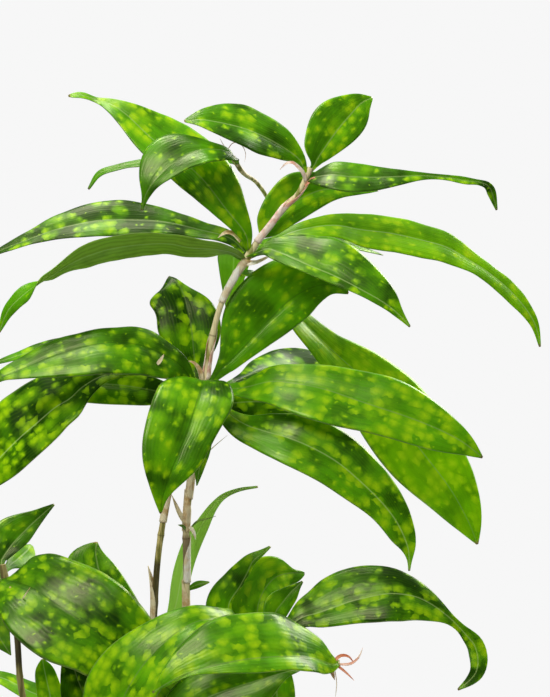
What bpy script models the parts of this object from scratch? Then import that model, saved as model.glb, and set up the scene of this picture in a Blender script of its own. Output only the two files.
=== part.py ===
"""A potted gold dust dracaena: thin canes with whorls of arching spotted leaves, in a plain clay pot.

Metres, +Z up. The origin is the middle of the pot's underside, and the plant's front looks along -Y.
"""
import math

import bmesh
import bpy
from mathutils import Vector

MM = 0.001

# Driving dimensions, in metres
POT_HEIGHT = 0.150
POT_RIM_RADIUS = 0.088
POT_WALL = 0.006
POT_BODY_WALL = 0.005
POT_EDGE = 0.0015
RIM_BAND = 0.026
POT_FOOT_RADIUS = 0.060
POT_FLOOR = 0.009
DRAIN_RADIUS = 0.005
DRAIN_CIRCLE = 0.034
DRAIN_COUNT = 4
DRAIN_SIDES = 16
SOIL_LEVEL = 0.135
SOIL_RELIEF = 0.0016
SOIL_SHOULDER = 0.002
SOIL_RINGS = [0.22, 0.42, 0.6, 0.78, 0.94]
SOIL_RIPPLES = [(0.5, 90, 110, 1.3), (0.5, 90, -110, 1.3), (0.6, 230, -170, 0.0)]
HOLE_MARGIN = 0.030
CLEARANCE = 0.0003
BLADE_THICKNESS = 0.0008
PETIOLE_HALF_WIDTH = 0.0013
TIP_HALF_WIDTH = 0.0006
ROUND_STEPS = 40
BLADE_ROWS = 9
SMALL_BLADE_ROWS = 7
BLADE_COLUMNS = 4
BROAD_BLADE = 16
LEAST_SHARE_SEEN = 0.35
SEAT_GAP = 0.0007
ROUTE_SPACING = 0.002
END_CROWDING = 0.35
WELD = 0.00001

# The plant is measured from one spot in front of it and a little above, against a picture plane that faces
# that spot. A point is written as the millimetres across and high at which it is seen there, and its
# millimetres in front of the upright plane through the pot's axis.
SIGHT_DISTANCE = 1.150
SIGHT_RISE = math.radians(8.0)
SIGHT_AIM = Vector((0.087, 0.0, 0.430))
SIGHT_AXIS = Vector((0.0, math.cos(SIGHT_RISE), -math.sin(SIGHT_RISE)))
SIGHT_UP = Vector((0.0, math.sin(SIGHT_RISE), math.cos(SIGHT_RISE)))
SIGHT = SIGHT_AIM - SIGHT_DISTANCE * SIGHT_AXIS

# Each cane: points from its foot in the soil to its growing tip, and the radius there in millimetres
CANES = {
    "cane_main": [
        (29.3, 113, 0, 2.4), (30, 148, 0, 2.3), (32.5, 208.5, 0, 2.2), (34, 279.5, 0, 2.1),
        (33.7, 322.5, 0, 2.0), (36, 346.5, 0, 2.0), (40.3, 379, 0, 2.0), (45, 405.3, 0, 2.5),
        (46.5, 420, 0, 1.9), (50, 440, 0, 1.8), (56, 460, 0, 1.7), (66, 478, 0, 1.8), (72, 487, 0, 2.4),
        (77, 495, 0, 1.7), (85, 505, 0, 1.5), (92, 514, 0, 1.4), (100, 522, 0, 1.4), (104.2, 529.2, 0, 1.6),
        (108.3, 538.4, 0, 2.0)],
    "cane_second": [
        (5.3, 113, 10, 2.3), (6, 148, 10, 2.2), (10, 208.5, 10, 2.1), (13.6, 255.6, 10, 2.0),
        (16.2, 298.5, 10, 1.9), (20, 327.3, 10, 1.8), (25.6, 356.4, 10, 1.8), (34.3, 385.7, 10, 1.8),
        (40, 402.4, 9, 2.2), (42, 411.2, 9, 2.2)],
    "cane_left": [
        (-48.5, 113, 0, 2.3), (-50, 148, 0, 2.2), (-59, 194.5, 0, 2.1), (-65.6, 229, 0, 2.0),
        (-67.8, 257.4, 0, 1.9), (-72, 282.2, 0, 1.9), (-75.3, 293.7, 0, 2.4), (-76.4, 300.4, 0, 1.8)],
    "cane_front": [
        (51.4, 113, 24, 2.3), (51.4, 148, 24, 2.2), (56, 175.7, 24, 2.1), (65.6, 208.5, 22, 2.0),
        (73.3, 236.6, 16, 1.9), (78.2, 253.7, 12, 2.3), (80, 262.2, 11, 1.8)],
}
TWIGS = {
    "cane_main": [
        [(76, 493.5, 0, 1.4), (80, 497.5, -13, 1.3), (86, 506, -25, 1.2), (83.5, 518, -24, 1.2),
         (76, 529.5, -9, 1.2), (68, 535.3, 3, 1.3), (61.7, 544.5, 11, 1.7)]],
    "cane_front": [
        [(60.5, 191.6, 23, 1.9), (68, 204, 32, 1.7), (77, 218, 42, 1.6), (88, 231, 50, 1.6),
         (100, 238, 55, 1.6), (112, 239.2, 58, 1.6), (120, 240.2, 58, 1.9), (126, 241.2, 58, 2.0)]],
}
CANE_SPACING = 0.011

# Each leaf: the cane and true height it grows from, the points of its midrib, and the way its upper face
# looks at even steps along it, as degrees from the front toward the right, and up. A midrib point may carry
# how far the blade is seen to reach to the left and right of it. Otherwise the leaf has one greatest width.
LEAVES = {
    # The crown at the top of the main cane
    "leaf_crown_upright": dict(
        cane="cane_main", seat=536, looks=[(20, 5), (20, 20), (20, 30)],
        spine=[(111, 541, -4, 2.5, 2.5), (113.4, 545.5, -5, 11.5, 5.5), (123.6, 560, -12, 18, 11.6),
               (132, 570, -19, 15, 12), (139, 577.3, -24, 7, 7.5), (145.4, 580.5, -28, 0.6, 0.6)]),
    "leaf_crown_left": dict(
        cane="cane_main", seat=534, looks=[(-30, 20), (-5, 40), (0, 45), (0, 50)],
        spine=[(102, 543, 2, 3, 3.5), (91, 551, 6, 7.5, 11), (78, 558, 10, 10.3, 13),
               (66, 562.5, 14, 10.2, 14.3), (53, 565.5, 17, 7.3, 11.5), (43, 567, 19, 4.3, 6.8),
               (32.5, 566.5, 20, 0.6, 0.6)]),
    "leaf_crown_right": dict(
        cane="cane_main", seat=532, rows=15, looks=[(0, 45), (0, 38), (0, 40), (0, 45), (0, 45), (10, 20)],
        spine=[(120, 534, 6, 8, 7.8), (132, 533, 8, 8.6, 9), (146, 532.5, 8, 7.5, 7.8),
               (160, 533, 8, 5, 5.4), (176, 533.5, 6, 1.9, 1.9), (190, 532.5, 5, 1.5, 1.6),
               (201, 530.5, 4, 2.4, 2.2), (210, 529.5, 3, 1, 1), (216, 526, 2, 3, 3),
               (220, 513, 0, 0.6, 0.6)]),
    # The side twig
    "leaf_twig_front": dict(
        cane="cane_main", twig=0, seat=541, rows=11, looks=[(-10, 60), (-10, 45), (-10, 30), (-20, 10)],
        spine=[(62.5, 545, 19, 1.5, 1.5), (57, 548.5, 22, 4.5, 2.5), (50, 549.3, 25, 6.5, 5),
               (43, 549, 28, 8, 9.5), (33, 545.5, 31, 7.8, 17), (22, 538, 34, 7, 17.5),
               (14, 529.5, 36, 3.8, 11), (9.5, 522, 36, 2.5, 2.4), (7, 513, 35, 0.6, 0.6)]),
    "leaf_twig_back": dict(
        cane="cane_main", twig=0, seat=536, looks=[(0, 60), (0, 60), (0, 60), (-30, 40)],
        spine=[(63.5, 541, -4, 1.2, 1.2), (58, 541.5, -14, 1.8, 1.8), (45, 542, -22, 3, 3),
               (24, 541.5, -26, 2.6, 2.6), (5, 541, -29, 2, 2.2), (-9, 538.3, -29, 1.8, 1.8),
               (-18.5, 534.5, -29, 1.5, 1.5), (-25, 525.5, -29, 0.6, 0.6)]),
    # The upper whorl
    "leaf_upper_tall": dict(
        cane="cane_main", seat=488, rows=14,
        looks=[(10, 10), (20, 20), (25, 25), (25, 30), (10, 40), (0, 45)],
        spine=[(69, 499, 5, 4.5, 4.5), (58, 513, 8, 7, 14), (40, 535, 9, 12.7, 20),
               (14, 555, 5, 10, 19), (-2, 570, 0, 7, 9), (-12, 576.5, -4, 3.9, 3.5),
               (-21, 579.3, -8, 1, 1), (-29, 582, -8, 2.4, 2.4), (-37, 581.5, -7, 0.6, 0.6)]),
    "leaf_upper_upright": dict(
        cane="cane_main", seat=497, looks=[(10, 10), (10, 15), (5, 30), (0, 45)],
        spine=[(81, 499.5, -3.5, 6.5, 4), (83.4, 502.3, -5, 9.6, 6.6), (92.4, 513, -8, 13.8, 10.8),
               (103.2, 520.3, -12, 16.8, 11), (115, 525, -17, 12, 9), (127, 525.7, -21, 6, 5),
               (139, 525, -25, 2.5, 2.5), (149, 525, -27, 0.6, 0.6)]),
    "leaf_upper_left": dict(
        cane="cane_main", seat=486, rows=10, looks=[(0, 55), (0, 48), (0, 45), (0, 45), (0, 50)],
        spine=[(60, 496, -7, 4, 4.5), (42, 501, -11, 5, 5.5), (22, 505.5, -14, 7, 8),
               (2, 507, -15, 8.5, 11.5), (-18, 506.5, -14, 9, 12), (-33, 504, -13, 7.5, 10.5),
               (-48, 500, -12, 5, 8), (-63, 494.5, -10, 3, 4.2), (-78, 488.5, -9, 1.8, 1.9),
               (-86, 484, -8, 0.6, 0.6)]),
    "leaf_upper_left_low": dict(
        cane="cane_main", seat=483, rows=13,
        looks=[(0, 100), (0, 125), (0, 128), (0, 128), (0, 122), (0, 105), (0, 50), (0, 35)],
        spine=[(62, 487.5, 3, 3, 3), (52, 489.5, 6, 4.1, 4.1), (37, 490.5, 9, 6, 6),
               (22, 493, 13, 6, 6), (2, 492, 17, 6.8, 6.8), (-14, 489.3, 19, 7.3, 7.3),
               (-28, 484.6, 20, 6.5, 6.5), (-38, 479.6, 20, 4.2, 4.2), (-48, 473, 20, 3, 3),
               (-58, 466.5, 20, 3.6, 3.6), (-68, 458.3, 20, 4.5, 4.5), (-74, 451, 19, 3.2, 3.2),
               (-78.5, 439.5, 18, 0.6, 0.6)]),
    "leaf_upper_right_front": dict(
        cane="cane_main", seat=487, looks=[(0, 50), (0, 42), (0, 36), (0, 30)],
        spine=[(76.5, 487.5, 10, 1.6, 1.6), (82, 489.5, 11, 5, 3.5), (90, 487.3, 16, 13, 5.4),
               (108, 479.5, 25, 21, 5), (123.6, 473, 30, 21, 4.8), (139, 465, 34, 17, 3.5),
               (152.4, 457.3, 36, 10.5, 3), (162, 449.5, 37, 3, 2), (168, 443, 37, 0.6, 0.6)]),
    "leaf_upper_right_long": dict(
        cane="cane_main", seat=486, rows=13, looks=[(0, 50), (0, 50), (0, 48), (0, 46), (0, 50), (10, 45)],
        spine=[(80, 489, -12, 1.6, 1.6), (89, 496, -16, 3.5, 3), (102, 501, -18, 4, 6),
               (122, 503.7, -23, 7.2, 7.2), (139, 501, -26, 10.2, 10), (156, 499, -28, 10.6, 10.6),
               (173, 495.3, -29, 10, 10), (189.6, 490.7, -30, 9, 9), (203, 483, -30, 6.2, 6.2),
               (213.6, 476.3, -30, 4.6, 4.6), (225.6, 466.7, -30, 5.5, 5.5), (236.4, 455, -30, 4.4, 4.4),
               (243, 444, -30, 2.4, 2.4), (246, 431, -30, 0.6, 0.6)]),
    "leaf_upper_back_right": dict(
        cane="cane_main", seat=484, width=22, looks=[(0, 50), (0, 60), (0, 65)],
        spine=[(80, 490, -24), (102, 493, -52), (130, 492, -66), (152, 486, -74)]),
    "leaf_upper_back_hanging": dict(
        cane="cane_main", seat=482, width=20, looks=[(0, 110), (0, 150), (0, 175), (0, 180)],
        spine=[(64, 485, -10), (62.5, 486, -26), (62, 479, -40), (60.5, 466, -46), (58, 451, -47)]),
    "leaf_upper_right_drooping": dict(
        cane="cane_main", seat=475, rows=11, looks=[(60, 60), (40, 40), (20, 22), (10, 12), (0, 5)],
        spine=[(74, 474, -24, 1.6, 1.6), (84, 466, -36, 4, 4), (95, 457, -44, 7, 7),
               (103.5, 446, -49, 6.5, 7.8), (119.6, 430.3, -54, 9, 10.2), (138, 413.5, -57, 17.5, 17.5),
               (154.4, 395.6, -59, 22.5, 22.5), (173.7, 370, -60, 23, 23), (191.3, 347, -60, 17.5, 17.5),
               (202.5, 327.2, -59, 9.5, 9.5), (208.5, 312.5, -58, 0.6, 0.6)]),
    # The middle whorl
    "leaf_middle_upright": dict(
        cane="cane_main", seat=409, looks=[(10, 10), (0, 6), (0, 6), (0, 14)],
        spine=[(55, 418, 3, 4, 5), (60, 422.5, 1, 9, 6), (72, 435, -2, 22.5, 9.5),
               (84, 448, -5, 27, 13.5), (97, 460, -9, 26, 15), (110, 467, -13, 20, 11),
               (122, 468, -16, 9, 6), (131, 463, -18, 0.6, 0.6)]),
    "leaf_middle_back": dict(
        cane="cane_main", seat=407, rows=10, looks=[(0, 10), (0, 10), (0, 15), (0, 30)],
        spine=[(40, 418, -8, 5, 5), (38.5, 426, -10, 13, 12), (37, 441, -14, 20, 18),
               (34.5, 455, -19, 19.5, 14.5), (31, 465, -25, 21, 5), (27, 471, -30, 14, 1.2),
               (23, 473, -34, 0.6, 0.6)]),
    "leaf_middle_left": dict(
        cane="cane_second", seat=409, rows=10, droop=0.3,
        looks=[(-20, 45), (-10, 42), (0, 40), (0, 42), (0, 45)],
        spine=[(30, 420, 13, 10, 6), (22, 425, 16, 13, 8.5), (7, 431.5, 22, 17, 11.8),
               (-8, 433.5, 26, 19, 9.6), (-22, 432, 29, 18, 9.7), (-38, 428, 31, 15.5, 9.5),
               (-53, 422.5, 33, 10.8, 9.2), (-68, 416, 35, 4.5, 6.7), (-78, 412, 36, 1.8, 4.2),
               (-90, 403, 36, 0.6, 0.6)]),
    "leaf_middle_left_back": dict(
        cane="cane_main", seat=404, width=22, looks=[(0, 50), (0, 60), (0, 60)],
        spine=[(24, 422, -22), (-8, 431, -32), (-45, 431, -36), (-88, 419, -38)]),
    "leaf_middle_left_drooping": dict(
        cane="cane_second", seat=404, rows=11, looks=[(-20, 50), (-30, 30), (-30, 20), (-20, 10)],
        spine=[(24, 413, 7, 2, 2), (5, 417, 8, 3, 3), (-15, 414, 9, 4, 9), (-28, 407, 10, 8.2, 15),
               (-36, 399.7, 11, 10.5, 19), (-45, 394.3, 12, 14, 22), (-57, 384, 13, 14.5, 24.5),
               (-66, 376.3, 14, 15, 25), (-78, 364.3, 14, 13.5, 24), (-92, 350, 13, 9, 16),
               (-104, 336, 12, 3, 5), (-109, 329, 11, 0.6, 0.6)]),
    "leaf_middle_left_under": dict(
        cane="cane_main", seat=399, looks=[(0, 20), (0, 15), (0, 15)],
        spine=[(27, 402, -10, 5, 5), (13, 405, -13, 9.5, 8), (-2, 407.5, -15, 11.5, 10),
               (-22, 409, -16, 12, 10), (-46, 408, -17, 8, 7), (-64, 405, -17, 0.6, 0.6)]),
    "leaf_middle_front": dict(
        cane="cane_second", seat=403, rows=11, looks=[(10, 80), (20, 60), (15, 30), (10, 10)],
        spine=[(42.5, 406, 17, 1, 1), (43.7, 410, 24, 8, 8), (43.5, 410, 33, 16, 16),
               (41.6, 402.7, 44, 21.5, 24.5), (38.4, 393, 52, 20, 25.5), (34.4, 381, 59, 17, 25.6),
               (28, 365, 66, 15.5, 22.5), (23.5, 353.5, 69, 9.7, 16.2), (19.5, 341, 70, 3.4, 6),
               (18.3, 331, 70, 0.6, 0.6)]),
    "leaf_middle_right": dict(
        cane="cane_main", seat=406, rows=11, looks=[(0, 60), (0, 42), (0, 36), (0, 30), (0, 28)],
        spine=[(66, 406, 9, 4.5, 4.5), (84, 410, 16, 9.5, 12.5), (96, 409.3, 20, 11.5, 16),
               (108, 407.5, 23, 14, 19), (120, 404.5, 25, 15.7, 20), (132, 400.3, 27, 18, 18.5),
               (150, 394.3, 30, 20, 16), (168, 388.3, 31, 18, 15), (186, 381, 32, 12, 13),
               (200, 373.5, 32, 7, 8), (211.5, 364.5, 32, 0.6, 0.6)]),
    "leaf_middle_right_drooping": dict(
        cane="cane_main", seat=401, rows=11, looks=[(10, 50), (10, 30), (10, 25), (10, 15), (0, 5)],
        spine=[(66, 386, 11, 5, 9), (80, 380.5, 21, 12.3, 11.5), (96, 376, 28, 15.5, 15.5),
               (112, 369, 31, 18, 16), (126, 360.5, 33, 17.5, 15.6), (140, 348.5, 35, 16, 13.5),
               (152, 336.5, 36, 13.3, 10.6), (160.5, 325, 37, 9.5, 9.5), (165.8, 313.5, 37, 6.5, 6.8),
               (167.3, 306.5, 37, 2.6, 1.6), (167.5, 296.5, 36, 0.6, 0.6)]),
    "leaf_middle_right_back": dict(
        cane="cane_main", seat=404, looks=[(0, 50), (0, 50), (0, 55)],
        spine=[(61, 409, -14, 2, 2), (70, 413, -30, 4, 3), (80, 417, -48, 7.4, 6), (92, 419.5, -62, 9.6, 8),
               (103, 419.5, -72, 11, 8), (120, 417, -80, 8, 6), (142, 411, -84, 0.6, 0.6)]),
    "leaf_middle_right_under": dict(
        cane="cane_main", seat=396, width=22, looks=[(0, 20), (0, 20), (0, 30)],
        spine=[(58, 397, -8), (78, 398, -16), (102, 395, -22), (126, 392, -26)]),
    "leaf_middle_hanging": dict(
        cane="cane_main", seat=394, width=11, looks=[(20, 40), (20, 10), (20, 0)],
        spine=[(47, 388.5, 5), (44.3, 377, 7), (42, 361, 7), (40, 347.7, 6)]),
    # Low on the main cane
    "leaf_narrow_bright": dict(
        cane="cane_main", seat=244, rows=11, looks=[(-20, 0), (-20, 5), (-20, 10), (-20, 30), (-20, 40)],
        spine=[(25, 262, -10, 3, 3), (28.5, 280, -13, 5, 5), (32, 298, -15, 5.7, 5.7),
               (36.5, 311, -16, 5.6, 5.6), (41.5, 321, -17, 4.8, 4.8), (46.5, 329.8, -18, 3.5, 3.5),
               (51, 336.3, -19, 2.4, 2.4), (57, 341.8, -20, 1.4, 1.4), (66, 345.3, -21, 1, 1),
               (76.8, 347, -21, 0.6, 0.6)]),
    "leaf_narrow_small": dict(
        cane="cane_main", seat=282, width=4, looks=[(0, 20), (0, 30)],
        spine=[(40.8, 288.4, 2), (47.7, 289.8, 3)]),
    # The left cane
    "leaf_left_broad": dict(
        cane="cane_left", seat=289, rows=10, looks=[(0, 50), (5, 34), (5, 28), (10, 20)],
        spine=[(-73.5, 290.6, 7, 13, 6), (-70, 290, 9, 17.5, 12), (-63, 288, 16, 23.5, 21),
               (-55, 284, 22, 26.5, 28), (-42, 275, 29, 31, 31), (-30, 267, 33, 32, 31),
               (-18, 258.5, 35, 31, 26), (-4, 247.5, 35, 27, 23), (12, 235, 32, 19, 17),
               (26, 223, 28, 10, 10), (36, 212, 26, 0.6, 0.6)]),
    "leaf_left_upright": dict(
        cane="cane_left", seat=295, looks=[(0, 10), (0, 20), (0, 30), (10, 40)],
        spine=[(-77, 303, -5, 7, 2.5), (-71, 312, -10, 15, 5.5), (-65.5, 318, -15, 15, 6.2),
               (-60, 323.5, -19, 10.5, 4.8), (-54, 329, -22, 5.5, 3), (-45.5, 336.5, -26, 0.6, 0.6)]),
    "leaf_left_back": dict(
        cane="cane_left", seat=292, looks=[(20, 30), (20, 20), (20, 30)],
        spine=[(-72, 300, -12, 3, 3), (-67, 304, -26, 7, 7), (-63, 307.5, -38, 7, 7.5),
               (-60.5, 310, -46, 4, 4.5), (-59, 312, -50, 0.6, 0.6)]),
    "leaf_left_hanging": dict(
        cane="cane_left", seat=283, width=22, looks=[(-20, 60), (-10, 30), (0, 10)],
        spine=[(-81, 285, 6), (-84.7, 273.6, 6), (-79.5, 259, 4), (-71.4, 246, 2)]),
    "leaf_left_outer": dict(
        cane="cane_left", seat=287, width=36, looks=[(-30, 50), (-30, 40), (-30, 30)],
        spine=[(-91, 300.4, -9), (-110.8, 299.4, -14), (-132, 286, -16), (-151, 263, -16)]),
    # Leaves low in the pot
    "leaf_low_back_upright": dict(
        cane="cane_second", seat=206, rows=13, looks=[(0, 10), (0, 12), (0, 15), (0, 20)],
        spine=[(2, 226, -8, 8, 10), (-4, 246, -13, 20, 22), (-12, 270, -18, 25, 19.5),
               (-17, 290, -22, 23, 13.5), (-20, 303, -26, 19, 7.5), (-20.5, 309, -28, 14, 3.5),
               (-20, 314, -30, 0.6, 0.6)]),
    "leaf_low_left_thin": dict(
        cane="cane_second", seat=172, width=24, looks=[(0, 60), (0, 68), (0, 70), (0, 60)],
        spine=[(-7, 201, -24), (-33, 214, -36), (-58, 223, -40), (-80, 233, -42), (-103, 231, -42)]),
    "leaf_low_left_pale": dict(
        cane="cane_left", seat=160, looks=[(0, 10), (0, 10), (0, 20)],
        spine=[(-51, 186, -8, 5, 5), (-47, 205, -11, 8, 8), (-47.5, 219, -13, 8, 8),
               (-50, 231, -15, 7, 7), (-51.7, 239, -16, 5, 5), (-52.5, 243.8, -17, 0.6, 0.6)]),
    "leaf_low_left_shaded": dict(
        cane="cane_second", seat=158, width=36, looks=[(0, 20), (0, 15), (0, 15)],
        spine=[(-3, 178, 17), (-17, 201, 20), (-30, 228, 21), (-39, 256, 19)]),
    "leaf_low_front": dict(
        cane="cane_front", seat=249, rows=11,
        looks=[(-10, 70), (-10, 50), (-15, 42), (-20, 34), (-25, 25), (-30, 10)],
        spine=[(68, 262, 30, 6, 6), (56, 266.5, 42, 8, 8.5), (44, 267, 50, 10, 10),
               (32, 262, 56, 13, 13.5), (20, 253, 60, 16, 17), (8, 240, 64, 17, 22),
               (-2, 224, 66, 17, 26), (-10, 204, 66, 17, 23), (-18, 184, 64, 10, 10),
               (-24, 166, 62, 0.6, 0.6)]),
    "leaf_low_right_long": dict(
        cane="cane_front", seat=251, rows=19, droop=0.3,
        looks=[(0, 45), (0, 42), (0, 40), (0, 40), (0, 40), (-10, 35), (-20, 30)],
        spine=[(94, 262, 8, 4, 4), (103, 268.5, 7, 9, 6), (112, 271, 6, 15, 9),
               (122.5, 274.7, 5, 19.5, 11.6), (133, 278.4, 4, 20.3, 14), (144, 281, 4, 19.8, 15.6),
               (155, 282.8, 4, 17, 16.8), (165.6, 282.2, 4, 13, 16), (174, 280, 4, 8.5, 14),
               (182, 275.7, 4, 6.5, 10), (189.4, 270.3, 4, 3.5, 5.8), (194.8, 265.5, 4, 1.3, 1.3),
               (201.2, 258.5, 4, 4.6, 3.2), (206.6, 252, 4, 6.3, 5), (208.8, 243.3, 4, 5.7, 5),
               (207.7, 235.8, 4, 5.2, 4.4), (203.4, 230.4, 4, 3, 2.5), (196.7, 225.2, 4, 0.6, 0.6)]),
    "leaf_low_right_folded": dict(
        cane="cane_front", seat=254, fold=20, rows=12, looks=[(-25, 10), (-25, 10), (-25, 15), (-25, 30)],
        spine=[(67, 260, 5, 3, 3), (60.5, 268.5, 3, 13.5, 3), (59.6, 277.2, 2, 14, 1.2),
               (65.6, 286.6, 1, 12.5, 1.2), (70.3, 295, 0, 10, 1.4), (74, 302.4, -1, 5.5, 1.8),
               (79.7, 307.1, -2, 2.6, 1.2), (84.3, 311.3, -3, 0.6, 0.6)]),
    "leaf_low_right_back": dict(
        cane="cane_front", seat=256, rows=14, looks=[(10, 10), (10, 10), (10, 15), (20, 20)],
        spine=[(76, 264, -6, 6, 4), (76.4, 269.5, -9, 15, 8), (76.8, 276.1, -11, 17, 12),
               (80.4, 285.1, -16, 18, 11),
               (85.8, 291.7, -22, 15.5, 9), (90, 294, -25, 11.8, 8.5), (94, 295, -29, 7.5, 8),
               (97.5, 295.4, -32, 2.4, 7), (101.5, 295.4, -35, 1.6, 5), (104.8, 295, -38, 0.6, 0.6)]),
    "leaf_low_right_young": dict(
        cane="cane_front", seat=253, looks=[(20, 20), (20, 20), (20, 30)],
        spine=[(84.5, 262, -1, 3, 3), (87, 271.3, -6, 7.8, 7), (90.8, 276.8, -9, 9, 6.6),
               (96.5, 283.8, -13, 4.5, 5.4), (100.2, 287.3, -15, 2, 2.6), (103.6, 290.3, -17, 0.6, 0.6)]),
    "leaf_low_right_hanging": dict(
        cane="cane_front", seat=243, width=22, looks=[(0, 50), (0, 20), (0, 10)],
        spine=[(84.5, 246, 20), (87, 233, 23), (89, 212, 25), (90, 186, 25)]),
    # The shoot that leans out at the front
    "leaf_front_arched": dict(
        cane="cane_front", twig=0, seat=252.8, rows=18,
        looks=[(-10, 30), (0, 44), (0, 42), (0, 40), (-10, 35), (-20, 20)],
        spine=[(121.6, 240.4, 62.4, 4.5, 7.5), (118, 241.3, 64.5, 6.4, 10.5), (113.5, 242.9, 68.5, 7.4, 14.5),
               (108, 244.2, 74, 8, 19.6), (100.2, 244.9, 81.5, 8, 25),
               (91.2, 245.1, 88, 8, 27.4), (73.8, 243.9, 95.5, 9, 28.5),
               (56.4, 241, 100, 6, 28), (39, 236.5, 102, 2.4, 20), (27.6, 231.7, 103, 1.6, 12),
               (19.8, 227.5, 103, 1.2, 5), (13.7, 223.6, 102.5, 0.6, 0.6)]),
    "leaf_front_under": dict(
        cane="cane_front", twig=0, seat=249.8, looks=[(0, 50), (0, 45), (-10, 40), (-20, 20)],
        spine=[(99, 237, 63, 1.6, 1.6), (91, 235, 67, 4, 5), (78, 231, 70, 14, 11),
               (62, 226, 73, 17, 18), (46, 220, 75, 17, 19), (32, 209, 75, 15, 16),
               (22, 193, 73, 8, 9), (16, 176, 71, 0.6, 0.6)]),
    # Leaves that arch out over the pot, below the rest
    "leaf_base_right": dict(
        cane="cane_front", seat=166, width=34, looks=[(0, 60), (0, 50), (0, 40)],
        spine=[(72.5, 193, 12), (98, 204, 6), (121, 198, 2), (140, 180, 0)]),
    "leaf_base_back_right": dict(
        cane="cane_main", seat=180, width=36, looks=[(60, 70), (120, 60), (140, 40)],
        spine=[(41, 205, -20), (55, 214, -48), (64.5, 205, -78), (70.5, 182, -104)]),
    "leaf_base_back_left": dict(
        cane="cane_main", seat=200, width=36, looks=[(0, 90), (-160, 60), (-170, 40)],
        spine=[(25.5, 223, -20), (14, 233, -48), (2, 223, -80), (-7, 199, -108)]),
    "leaf_base_left": dict(
        cane="cane_left", seat=190, width=34, looks=[(-40, 60), (-50, 45), (-60, 30)],
        spine=[(-73.5, 210, 14), (-93, 216, 24), (-114, 206, 32), (-129, 186, 36)]),
}
# The usual blade: degrees of fold at the midrib, how far the edges turn down, and where it is widest
FOLD = 15
EDGE_DROOP = 0.2
WIDEST = 0.45


def clear_scene():
    for item in list(bpy.data.objects):
        bpy.data.objects.remove(item, do_unlink=True)


def make_collection(name):
    collection = bpy.data.collections.new(name)
    bpy.context.scene.collection.children.link(collection)
    return collection


def make_material(name, colour, roughness):
    material = bpy.data.materials.new(name)
    material.use_nodes = True
    shader = material.node_tree.nodes["Principled BSDF"]
    shader.inputs["Base Color"].default_value = (*colour, 1.0)
    shader.inputs["Roughness"].default_value = roughness
    shader.inputs["Metallic"].default_value = 0.0
    return material


def new_object(name, mesh, material, collection):
    piece = bpy.data.objects.new(name, mesh)
    piece.data.materials.clear()
    piece.data.materials.append(material)
    collection.objects.link(piece)
    return piece


def place(across, high, toward):
    """The point that is seen at these millimetres across and high, so far in front of the upright plane."""
    shown = SIGHT_AIM + Vector((across * MM - SIGHT_AIM.x, 0.0, 0.0)) + SIGHT_UP * (high * MM - SIGHT_AIM.z)
    sight = shown - SIGHT
    return SIGHT + sight * ((-toward * MM - SIGHT.y) / sight.y)


def seen_at(point):
    """Where a point is seen on the picture plane, across and high."""
    sight = point - SIGHT
    return Vector((sight.x, sight.dot(SIGHT_UP))) * (SIGHT_DISTANCE / sight.dot(SIGHT_AXIS))


def smooth_path(knots, spacing):
    """Points about `spacing` apart on a smooth curve through the knots, each knot a list of numbers."""
    ends = [[2 * a - b for a, b in zip(knots[0], knots[1])]]
    tails = [[2 * a - b for a, b in zip(knots[-1], knots[-2])]]
    padded = ends + [list(knot) for knot in knots] + tails
    path = []
    for i in range(1, len(padded) - 2):
        before, start, end, after = padded[i - 1:i + 3]
        length = math.dist(start[:3], end[:3])
        steps = max(1, round(length / spacing))
        for step in range(steps):
            t = step / steps
            path.append([curve_value(a, b, c, d, t) for a, b, c, d in zip(before, start, end, after)])
    path.append(list(knots[-1]))
    return path


def curve_value(a, b, c, d, t):
    """One coordinate of a smooth curve that passes from b to c, with a before and d after."""
    slope_b = (c - a) / 2
    slope_c = (d - b) / 2
    turn = 3 * (c - b) - 2 * slope_b - slope_c
    bend = 2 * (b - c) + slope_b + slope_c
    return b + t * (slope_b + t * (turn + t * bend))


def cane_knots(points):
    return [(*place(across, high, toward), radius * MM) for across, high, toward, radius in points]


def tube_object(name, path, material, collection, extra=0.0, sink=0.0):
    """A round tube along a path of x, y, z and radius. Sink lengthens its lower end."""
    data = bpy.data.curves.new(name, "CURVE")
    data.dimensions = "3D"
    data.bevel_depth = 1.0
    data.bevel_resolution = 2
    data.use_fill_caps = True
    spline = data.splines.new("POLY")
    spline.points.add(len(path) - 1)
    for point, (x, y, z, radius) in zip(spline.points, path):
        point.co = (x, y, z, 1.0)
        point.radius = radius + extra
    spline.points[0].co.z -= sink
    curve = bpy.data.objects.new(name + "_path", data)
    collection.objects.link(curve)
    bpy.context.view_layer.update()
    graph = bpy.context.evaluated_depsgraph_get()
    mesh = bpy.data.meshes.new_from_object(curve.evaluated_get(graph))
    shell = bmesh.new()
    shell.from_mesh(mesh)
    bmesh.ops.remove_doubles(shell, verts=shell.verts, dist=WELD)
    bmesh.ops.recalc_face_normals(shell, faces=shell.faces)
    shell.to_mesh(mesh)
    shell.free()
    tube = new_object(name, mesh, material, collection)
    tube.matrix_world = curve.matrix_world
    bpy.data.objects.remove(curve, do_unlink=True)
    return tube


def boolean(piece, other, operation):
    """Joins or cuts with another object, then applies it."""
    step = piece.modifiers.new(operation.title(), "BOOLEAN")
    step.operation = operation
    step.solver = "EXACT"
    step.object = other
    graph = bpy.context.evaluated_depsgraph_get()
    mesh = bpy.data.meshes.new_from_object(piece.evaluated_get(graph))
    piece.modifiers.clear()
    piece.data = mesh


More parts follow.
